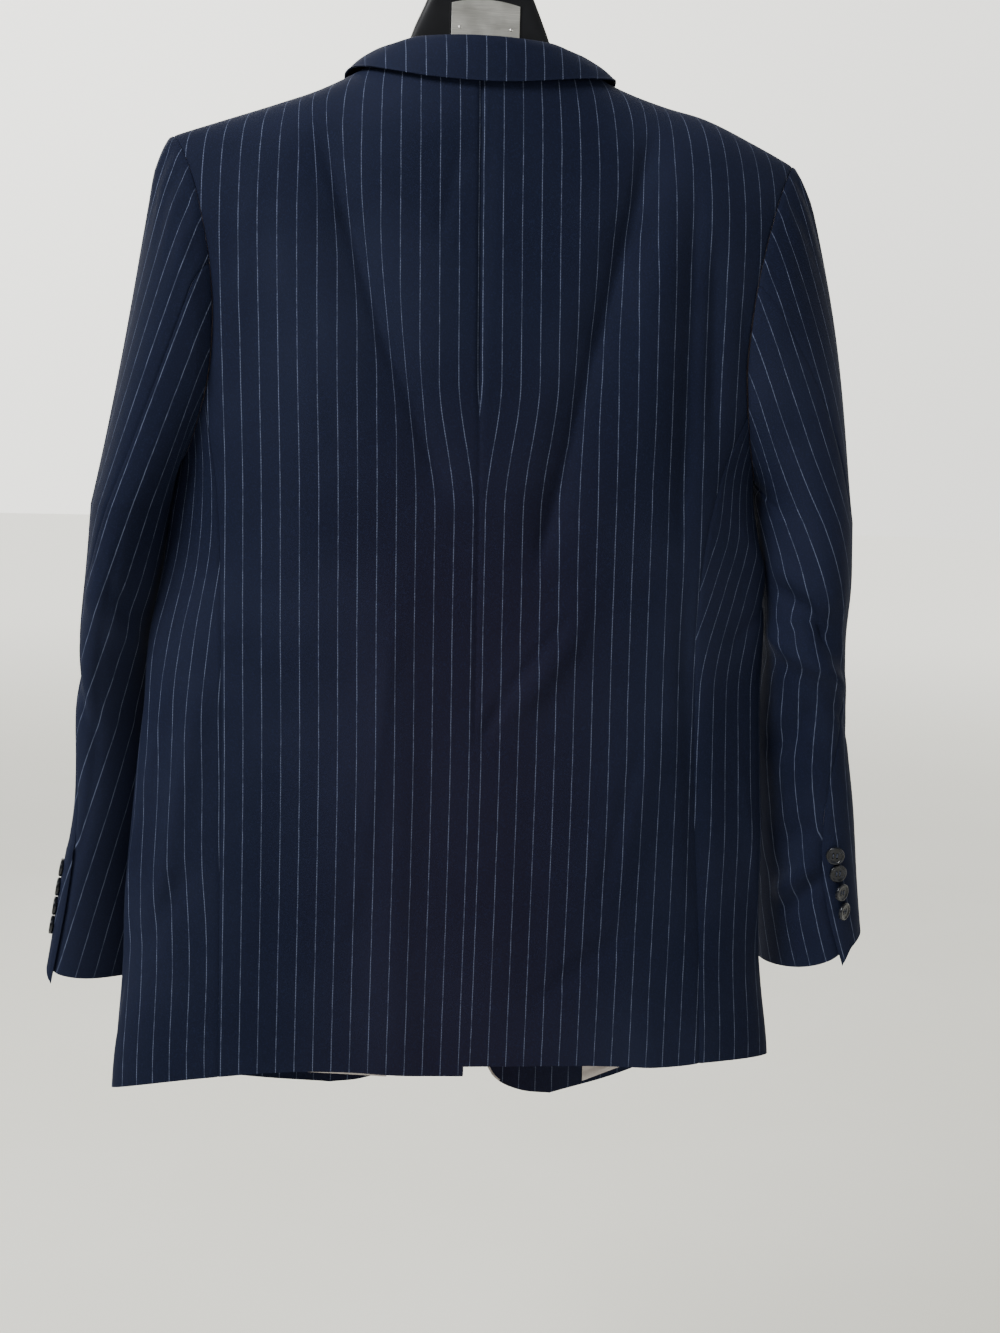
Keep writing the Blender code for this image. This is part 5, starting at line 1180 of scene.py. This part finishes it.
v, u = spaced(12.0, 120) / 12.0, spaced(5.0, 55) / 5.0
for side in (-1, 1):
    low_z, edge, notch = LAPEL[side]
    top, start, notch = np.array(ROLL_TOP[side]), np.array(FRONT_EDGE[side][-1]), np.array(notch)
    low = start + (top - start) * (low_z - start[1]) / (top[1] - start[1])
    roll = low + (top - low) * v[:, None]
    far = along_curve(edge, v)
    gorge = np.where(u[:, None] <= NOTCH_SHARE, top + (notch - top) * u[:, None] / NOTCH_SHARE,
                     notch + (far[-1] - notch) * (u[:, None] - NOTCH_SHARE) / (1 - NOTCH_SHARE))
    grid = patch(low + (far[0] - low) * u[:, None], gorge, roll, far, u, v)
    x, z = grid[..., 0], grid[..., 1]
    height = WALL + LAP + ROLL * (1 - u) ** 2 * ease((z - low_z) / 0.10)
    _, normals = body(x, z, 1)
    flat_points, _ = body(x, z, 1, tuck(x, z, side))
    # the turn itself is a quarter ellipse
    turned = np.clip(edge_distance(flat_points, "l") / ROLL_REACH, 0, 1)
    outer = flat_points + normals * (height * np.sqrt(1 - (1 - turned) ** 2) - 0.0004)[..., None]
    outer = pressed(outer, normals, "rt", dip=0.0004, reach=0.0018)
    arc = -edge_distance(flat_points, "r")
    made = cloth_wall(f"lapel_{NAME[side]}_cloth", pulled_in(outer), pulled_in(outer - normals * THICK),
                      np.stack([arc, z], axis=-1), (wool_front[side],))
    dress(made, f"lapel_{NAME[side]}")


# ---- The collar --------------------------------------------------------------------------------
# Stand and fall in one piece of worsted over its canvas, from one gorge round the nape to the
# other. It is steamed over a round fold and its fall just covers the neck seam.
FALL_OFF = 0.0018
FALL_BULGE = 0.0016
GORGE_GAP = 0.0010
SEAM_GAP = 0.0003
# share of the way from the centre back to the shoulder (0 to 1) and on to the gorge (1 to 2), then
# x of the fall's edge, its z left and right, its face, the fold's rise and its stand-off, and radius
COLLAR = (
    (0.00, 0.0000, -0.1484, -0.1484, -1, 0.0225, 0.0048, 0.0032),
    (0.20, 0.0210, -0.1480, -0.1474, -1, 0.0222, 0.0048, 0.0032),
    (0.40, 0.0420, -0.1466, -0.1448, -1, 0.0212, 0.0048, 0.0032),
    (0.58, 0.0615, -0.1437, -0.1414, -1, 0.0195, 0.0050, 0.0032),
    (0.74, 0.0790, -0.1402, -0.1382, -1, 0.0170, 0.0054, 0.0032),
    (0.86, 0.0900, -0.1375, -0.1365, -1, 0.0122, 0.0054, 0.0032),
    (0.95, 0.1005, -0.1358, -0.1342, -1, 0.0082, 0.0050, 0.0031),
    (1.00, 0.1056, -0.1000, -0.1000, 1, 0.0068, 0.0046, 0.0030),
    (1.09, 0.1070, -0.1410, -0.1375, 1, 0.0064, 0.0045, 0.0030),
    (1.30, 0.1090, -0.1540, -0.1510, 1, 0.0062, 0.0042, 0.0029),
    (1.62, 0.1120, -0.1740, -0.1710, 1, 0.0060, 0.0036, 0.0028),
    (2.00, 0.1145, -0.1985, -0.1955, 1, 0.0055, 0.0028, 0.0028),
)
COLLAR_WIDTH = {-1: 0.923, 1: 1.0}
COLLAR_ROWS = 281


def neck_place(side, share):
    """x, z and face of the panels' neck edge."""
    if share <= 1:
        x = NECK_SIDE[side][0] * share
        return x, float(min(neck_z(x), shoulder_z(x))), -1
    x, z = np.array(NECK_SIDE[side]) * (2 - share) + np.array(GORGE[side]) * (share - 1)
    return x, float(min(z, shoulder_z(x))), 1


def collar_section(side, row, base, tangent):
    """Ten points of one section: up the stand, round the fold's half circle and down the fall."""
    share, x, z_left, z_right, face, rise, off, radius = row
    x = side * x * COLLAR_WIDTH[side]
    z = float(min(z_left if side < 0 else z_right, shoulder_z(x)))
    edge, _ = body(x, z, face, WALL + FALL_OFF)
    across = form(*neck_place(side, share))[1]
    across = unit(across - tangent * np.dot(across, tangent))
    up = np.cross(across, tangent)
    base = base + up * SEAM_GAP * 2
    middle = base + up * (rise - radius) + across * off
    points = [base, base * 0.5 + (middle - across * radius) * 0.5]
    for angle in np.radians((180, 135, 90, 45, 0)):
        points.append(middle + radius * (across * math.cos(angle) + up * math.sin(angle)))
    fall = points[-1] + (edge - points[-1]) * np.array([[1 / 3], [2 / 3], [1.0]])
    if share < COLLAR[-1][0]:
        fall[:2] += unit(across + form(x, z, face)[1]) * FALL_BULGE
    else:
        notch = np.array(LAPEL[side][2]) + (0.0, GORGE_GAP)
        for k, (x, z) in enumerate((np.array(ROLL_TOP[side]) * 0.5 + notch * 0.5, notch)):
            fall[k] = body(x, z, 1, WALL + FALL_OFF)[0]
    return np.vstack([points, fall])


rows = [(-1, row) for row in COLLAR[:0:-1]] + [(1, row) for row in COLLAR]
seam = np.array([body(*neck_place(side, row[0]), -WALL)[0] for side, row in rows])
tangents = unit(np.gradient(seam, axis=0))
coarse = np.array([collar_section(side, row, base, tangent)
                   for (side, row), base, tangent in zip(rows, seam, tangents)])
along = run_along(coarse[:, 6], 0)
along -= along[len(COLLAR) - 1]
across = np.r_[0, np.cumsum(np.linalg.norm(np.diff(coarse, axis=1), axis=-1).mean(axis=0))]
run = np.linspace(along[0], along[-1], COLLAR_ROWS)
fine = smooth(run, along, coarse)
depth_shares = np.r_[0, 0.0004, 0.0010, np.linspace(0.002, across[-1] - 0.002, 52), across[-1] - 0.0010,
                     across[-1] - 0.0004, across[-1]]
fine = np.swapaxes(smooth(depth_shares, across, np.swapaxes(fine, 0, 1)), 0, 1)
normals = unit(np.cross(np.gradient(fine, axis=0), np.gradient(fine, axis=1)))
fine = pressed(fine, normals, "r", dip=0.0003, reach=0.0012)
# its stripe stands upright all round the back, and follows the run of the fold on the chest
shares = np.array([side * row[0] for side, row in rows])
ends = along[[int(np.argmin(np.abs(shares - end))) for end in (-1, 1)]]
side_rows = [int(np.argmin(np.abs(run - end))) for end in ends]
upright_x = fine[np.clip(np.arange(len(run)), *side_rows), :, 0]
across_cut = upright_x + (run - np.clip(run, *ends))[:, None]
cut = np.stack(np.broadcast_arrays(across_cut, -depth_shares[None]), axis=-1)
wool_collar = worsted("worsted_collar", first_stripe=0.0003)
made = cloth_wall("collar_cloth", fine, fine - normals * THICK, cut, (wool_collar,))
dress(made, "collar")


# ---- The buttons -------------------------------------------------------------------------------
# Dark polished resin, turned with a raised rim and a dished middle, each with four holes and sewn on
# with navy thread over a short shank: four on each cuff and two on the left front.
BUTTON_RADIUS = 0.0075
FRONT_BUTTON_RADIUS = 0.0100
BUTTON_THICK = 0.0032
BUTTON_SIDES = 80
BUTTON_SHARP = 60        # degrees
# share of the radius and of the thickness, from the middle of the back round to that of the face
BUTTON_PROFILE = (
    (0.0, 0.02), (0.40, 0.0), (0.80, 0.0), (0.95, 0.10), (1.0, 0.38), (1.0, 0.68), (0.955, 0.90),
    (0.87, 1.0), (0.78, 0.93), (0.70, 0.78), (0.60, 0.715), (0.45, 0.70), (0.0, 0.70))
HOLE_OUT = 0.21          # holes: distance of each from the middle, and radius, in shares of the radius
HOLE_RADIUS = 0.085

resin, tree, shader = new_material("button_resin_turned")
place = add(tree, "TexCoord", **IN_PLACE)
horn = add(tree, "TexNoise", {"Vector": place, "Scale": 160.0, "Detail": 3.0, "Distortion": 1.5})
streaks = add(tree, "MapRange", horn, 0.35, 0.70, **STEP)
scuffs = add(tree, "TexNoise", {"Vector": place, "Scale": 900.0, "Detail": 2.0})
fill(tree, shader, {
    "Base Color": add(tree, "Mix", {0: streaks, 6: colour("07090d"), 7: colour("151820")}, **COLOURS),
    "Roughness": add(tree, "MapRange", scuffs, 0.35, 0.75, 0.16, 0.34, **STEP),
    "Specular IOR Level": 0.30})
navy_thread, tree, shader = new_material("button_thread")
place = add(tree, "TexCoord", **IN_PLACE)
twist = add(tree, "TexNoise", {"Vector": place, "Scale": 3500.0, "Detail": 1.0})
strands = add(tree, "MapRange", twist, 0.3, 0.7, **STEP)
fill(tree, shader, {
    "Base Color": add(tree, "Mix", {0: strands, 6: colour("141826"), 7: colour("353c52")}, **COLOURS),
    "Roughness": 0.8})


def ring_quads(index):
    """Faces between the rows of a grid of indices whose columns close to a ring."""
    near, far = index[:-1], index[1:]
    return np.stack([near, np.roll(near, -1, 1), np.roll(far, -1, 1), far], axis=-1).reshape(-1, 4)


def tube(route, radius, sides=8):
    """Points and faces of a round thread along a short route, its ends closed by single points."""
    route = np.asarray(route, float)
    ahead = unit(np.gradient(route, axis=0))
    aside = unit(np.cross(ahead, (0.31, 0.72, 0.62)))
    over = np.cross(ahead, aside)
    angles = circle(sides)
    ring = aside[:, None] * np.cos(angles)[None, :, None] + over[:, None] * np.sin(angles)[None, :, None]
    points = np.vstack([(route[:, None] + ring * radius).reshape(-1, 3), route[:1], route[-1:]])
    index = np.arange(len(route) * sides).reshape(-1, sides)
    quads = ring_quads(index)
    first, last = len(points) - 2, len(points) - 1
    fans = [[first, index[0, (k + 1) % sides], index[0, k]] for k in range(sides)]
    fans += [[last, index[-1, k], index[-1, (k + 1) % sides]] for k in range(sides)]
    return points, quads.tolist() + fans


def turned_button(name, node, outwards, radius):
    """A button in the solid's place. Its axis is the direction in which the solid's points spread
    least, and each hole sinks a smooth well into the turned face."""
    low, high = (np.array(corner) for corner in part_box(node))
    solid = np.array([vertex.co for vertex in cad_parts[node].data.vertices])
    axis = np.linalg.svd(solid - solid.mean(axis=0), full_matrices=False)[2][-1]
    axis = axis * (1 if np.dot(axis, outwards) > 0 else -1)
    back = (low + high) / 2 - axis * BUTTON_THICK / 2
    side_way = unit(np.cross(axis, (0.0, 0.0, 1.0)))
    over = np.cross(side_way, axis)
    knots = np.array(BUTTON_PROFILE)
    run = np.r_[0, np.cumsum(np.hypot(*np.diff(knots, axis=0).T))]
    at = np.concatenate([np.linspace(0, run[8], 22)[1:], np.linspace(run[8], run[-1] - 0.06, 34)[1:]])
    r = np.clip(smooth(at, run, knots[:, 0]), 0.0, 1.0)
    h = smooth(at, run, knots[:, 1])
    angles = circle(BUTTON_SIDES)
    px, py = r[:, None] * np.cos(angles), r[:, None] * np.sin(angles)
    to_hole = np.hypot(np.abs(px) - HOLE_OUT, np.abs(py) - HOLE_OUT)
    well = ease((HOLE_RADIUS + 0.03 - to_hole) / 0.05) * (at > run[8])[:, None]
    h = np.broadcast_to(h[:, None], px.shape) - 0.62 * well
    across_face = (px[..., None] * side_way + py[..., None] * over) * radius
    points = back + across_face + h[..., None] * axis * BUTTON_THICK
    poles = np.stack([back + axis * 0.02 * BUTTON_THICK, back + axis * 0.70 * BUTTON_THICK])
    index = np.arange(points.shape[0] * BUTTON_SIDES).reshape(-1, BUTTON_SIDES)
    quads = ring_quads(index)[:, (0, 3, 2, 1)]
    count = index.size
    fans = [[count, *pair] for pair in zip(index[0], np.roll(index[0], -1))]
    fans += [[count + 1, *pair] for pair in zip(np.roll(index[-1], -1), index[-1])]
    points = np.vstack([points.reshape(-1, 3), poles])
    faces = quads.tolist() + fans
    turned = len(faces)
    # two stitches over the face and one bundle down to the cloth
    share = np.linspace(0, 1, 11)
    height = 0.58 + 0.22 * np.sin(share * math.pi)
    threads = [tube(back + side_way * (across * HOLE_OUT * radius)
                    + over * ((share - 0.5) * 2 * HOLE_OUT * radius)[:, None]
                    + axis * (height * BUTTON_THICK)[:, None], 0.00042) for across in (-1, 1)]
    threads.append(tube(back + axis * np.linspace(0.0004, -0.0026, 5)[:, None], 0.0011, 12))
    for more, its_faces in threads:
        faces += [[k + len(points) for k in face] for face in its_faces]
        points = np.vstack([points, more])
    slots = np.ones(len(faces), np.int32)
    slots[:turned] = 0
    made = shell(name, points, faces, (resin, navy_thread), BUTTON_SHARP, slots)
    dress(made, node)


for side in (-1, 1):
    for count in (1, 2, 3, 4):
        node = f"cuff_button_{NAME[side]}_{count}"
        turned_button(node + "_turned", node, (side, -0.3, 0.0), BUTTON_RADIUS)
for count in (1, 2):
    node = f"front_button_{count}"
    turned_button(node + "_turned", node, (0.0, 1.0, 0.0), FRONT_BUTTON_RADIUS)


# ---- The hanger --------------------------------------------------------------------------------
# A broad-necked moulded hanger in matte black plastic. A bare brushed plate lies in a shallow rebate
# on the back of its neck, held by two small rivets, and a plated wire hook runs up out of the top.
# x, z of the top and z of the underside of the broad neck
HANGER_NECK = (
    (-0.0600, -0.1266, -0.1555), (-0.0560, -0.1175, -0.1550), (-0.0530, -0.1070, -0.1545),
    (-0.0490, -0.0965, -0.1545), (-0.0435, -0.0845, -0.1540), (-0.0385, -0.0730, -0.1530),
    (-0.0340, -0.0645, -0.1520), (-0.0260, -0.0590, -0.1510), (-0.0130, -0.0565, -0.1500),
    (0.0010, -0.0560, -0.1500), (0.0150, -0.0565, -0.1500), (0.0290, -0.0590, -0.1510),
    (0.0370, -0.0645, -0.1520), (0.0415, -0.0730, -0.1530), (0.0465, -0.0845, -0.1540),
    (0.0515, -0.0965, -0.1545), (0.0555, -0.1070, -0.1545), (0.0590, -0.1175, -0.1550),
    (0.0640, -0.1264, -0.1555),
)
NECK_HALF, ARM_HALF = 0.0100, 0.0145
ARM_ENDS, ARM_STARTS = (-0.2120, 0.2300), (-0.0790, 0.0830)
ARM_DROP = 0.0020
ARM_TALL, ARM_TALLER = 0.034, 0.006
NECK_SQUARE = 0.45       # power of the section's sine and cosine: 1 is an ellipse, 0 a rectangle
ARM_CAP = 0.004          # length of the rounded end
FRAME_SIDES = 64
FRAME_SHARP = 50         # degrees
REST_GAP = 0.0010
PLATE = (-0.0220, 0.0300, -0.1230, -0.0800)
PLATE_ARCH = 0.0035
PLATE_THICK = 0.0010
PLATE_STEPS = 49
RIVET_IN = 0.0065        # from the plate's side edges
RIVET_Z = -0.0975
RIVET_RADIUS = 0.0013
RIVET_TALL = 0.0006
RIVET_SIDES, RIVET_ROWS = 28, 6

black, tree, shader = new_material("moulded_black")
place = add(tree, "TexCoord", **IN_PLACE)
grain = add(tree, "TexNoise", {"Vector": place, "Scale": 1400.0, "Detail": 2.0})
dust = add(tree, "TexNoise", {"Vector": place, "Scale": 30.0, "Detail": 3.0})
greyed = add(tree, "MapRange", dust, 0.45, 0.8, 0.0, 0.5, **STEP)
fill(tree, shader, {
    "Base Color": add(tree, "Mix", {0: greyed, 6: colour("0a0b0f"), 7: colour("13151a")}, **COLOURS),
    "Roughness": add(tree, "MapRange", dust, 0.3, 0.7, 0.42, 0.56, **STEP),
    "Specular IOR Level": 0.18,
    "Normal": add(tree, "Bump", {"Strength": 0.25, "Distance": 0.0002, "Height": grain})})

rows = []
for start, end in ((ARM_ENDS[0], ARM_STARTS[0]), (ARM_STARTS[1], ARM_ENDS[1])):
    for x in np.linspace(start, end, 7):
        reach = (abs(x) - ARM_STARTS[1]) / (ARM_ENDS[1] - ARM_STARTS[1])
        top = float(shoulder_z(x)) - WALL - REST_GAP - ARM_DROP * max(reach, 0.0) ** 2
        half = NECK_HALF + (ARM_HALF - NECK_HALF) * max(reach, 0.0)
        rows.append((x, top, top - ARM_TALL - ARM_TALLER * reach, half, 1.0))
rows += [(x, top, low, NECK_HALF, NECK_SQUARE) for x, top, low in HANGER_NECK]
rows = np.array(sorted(rows))
xs = np.linspace(rows[0, 0], rows[-1, 0], 261)
top, low, half, square = (np.interp(xs, rows[:, 0], rows[:, k]) for k in (1, 2, 3, 4))
angles = circle(FRAME_SIDES)
round_y = np.sign(np.cos(angles)) * np.abs(np.cos(angles)) ** square[:, None]
round_z = np.sign(np.sin(angles)) * np.abs(np.sin(angles)) ** square[:, None]
loft = np.stack([np.broadcast_to(xs[:, None], round_y.shape), half[:, None] * round_y,
                 (top + low)[:, None] / 2 + (top - low)[:, None] / 2 * round_z], axis=-1)
caps = []
for end, way in ((0, -1), (-1, 1)):
    middle = loft[end].mean(axis=0)
    for step in (0.35, 0.65, 0.85, 0.96):
        shrunk = middle + (loft[end] - middle) * math.sqrt(1 - step ** 2)
        caps.append(shrunk + np.array([way * ARM_CAP * step, 0, 0]))
loft = np.concatenate([np.array(caps[:4])[::-1], loft, np.array(caps[4:])])
index = np.arange(loft.shape[0] * FRAME_SIDES).reshape(-1, FRAME_SIDES)
faces = ring_quads(index).tolist() + [index[0, ::-1].tolist(), index[-1].tolist()]
moulded = shell("hanger_frame_moulded", loft.reshape(-1, 3), faces, (black,), FRAME_SHARP)
dress(moulded, "hanger_frame")

steel, tree, shader = new_material("plate_brushed")
place = add(tree, "TexCoord", **IN_PLACE)
strokes = add(tree, "Mapping", {"Vector": place, "Scale": (60.0, 60.0, 5200.0)})
lines = add(tree, "TexNoise", {"Vector": strokes, "Scale": 1.0, "Detail": 4.0})
blush = add(tree, "TexNoise", {"Vector": place, "Scale": 55.0, "Detail": 2.0})
brushed = add(tree, "MapRange", lines, 0.3, 0.7, **STEP)
fill(tree, shader, {
    "Base Color": add(tree, "Mix", {0: brushed, 6: colour("b4b4b2"), 7: colour("d2d2cf")}, **COLOURS),
    "Roughness": add(tree, "MapRange", blush, 0.3, 0.7, 0.30, 0.42, **STEP),
    "Metallic": 1.0,
    "Normal": add(tree, "Bump", {"Strength": 0.2, "Distance": 0.0001, "Height": lines})})


def plate_piece(name, grow, back_y, front_y, bevel, material):
    """A flat piece with the plate's arched outline, grown by a margin, its front edge bevelled."""
    x0, x1, z0, z1 = PLATE
    share = np.linspace(0, 1, PLATE_STEPS)
    arch = z1 + PLATE_ARCH * (1 - (2 * share - 1) ** 2)
    outline = np.vstack([np.stack([x0 + (x1 - x0) * share, np.full(PLATE_STEPS, z0)], axis=-1),
                         np.stack([x1 - (x1 - x0) * share, arch], axis=-1)])
    corner = np.sign(outline - np.array([(x0 + x1) / 2, (z0 + z1) / 2]))
    outline = outline + corner * grow
    rings = ((outline, back_y), (outline, front_y + bevel), (outline - corner * bevel, front_y))
    points = np.vstack([np.insert(ring, 1, y, axis=1) for ring, y in rings])
    index = np.arange(len(points)).reshape(len(rings), -1)
    faces = ring_quads(index)[:, (1, 2, 3, 0)].tolist() + [index[0, ::-1].tolist(), index[2].tolist()]
    return shell(name, points, faces, (material,))


plate_y = -NECK_HALF - SEAM_GAP - PLATE_THICK
plate = plate_piece("hanger_plate_brushed", -0.00005, -NECK_HALF - 0.0002, plate_y, 0.00025, steel)
dress(plate, "hanger_plate")
rebate = plate_piece("hanger_plate_rebate", 0.0013, -NECK_HALF + 0.0010, -NECK_HALF - 0.00025,
                     0.0002, black)
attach(rebate, "root")

# each rivet's head is half an ellipsoid, let 0.1 mm into the plate
for name, x in (("left", PLATE[0] + RIVET_IN), ("right", PLATE[1] - RIVET_IN)):
    share = np.linspace(0, math.pi / 2, RIVET_ROWS + 1)[:-1]
    angles = circle(RIVET_SIDES)
    tall, reach = RIVET_TALL * np.sin(share)[:, None], RIVET_RADIUS * np.cos(share)[:, None]
    dome = np.stack(np.broadcast_arrays(x + reach * np.cos(angles), plate_y + 0.0001 - tall,
                                        RIVET_Z + reach * np.sin(angles)), axis=-1)
    top = [x, plate_y + 0.0001 - RIVET_TALL, RIVET_Z]
    index = np.arange(RIVET_ROWS * RIVET_SIDES).reshape(RIVET_ROWS, RIVET_SIDES)
    faces = ring_quads(index).tolist() + [index[0, ::-1].tolist()]
    faces += [[*pair, index.size] for pair in zip(index[-1], np.roll(index[-1], -1))]
    rivet = shell(f"hanger_plate_rivet_{name}", np.vstack([dome.reshape(-1, 3), [top]]), faces,
                  (steel,), 180)
    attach(rivet, "root")

wire, tree, shader = new_material("plated_wire_drawn")
place = add(tree, "TexCoord", **IN_PLACE)
drawn = add(tree, "TexNoise", {"Vector": place, "Scale": 700.0, "Detail": 2.0})
streaks = add(tree, "MapRange", drawn, 0.3, 0.7, **STEP)
fill(tree, shader, {
    "Base Color": add(tree, "Mix", {0: streaks, 6: colour("d9dadb"), 7: colour("e9e9ea")}, **COLOURS),
    "Roughness": add(tree, "MapRange", drawn, 0.3, 0.7, 0.10, 0.22, **STEP),
    "Metallic": 1.0})
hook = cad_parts["hanger_hook"]
for slot_place in hook.material_slots:
    slot_place.material = wire
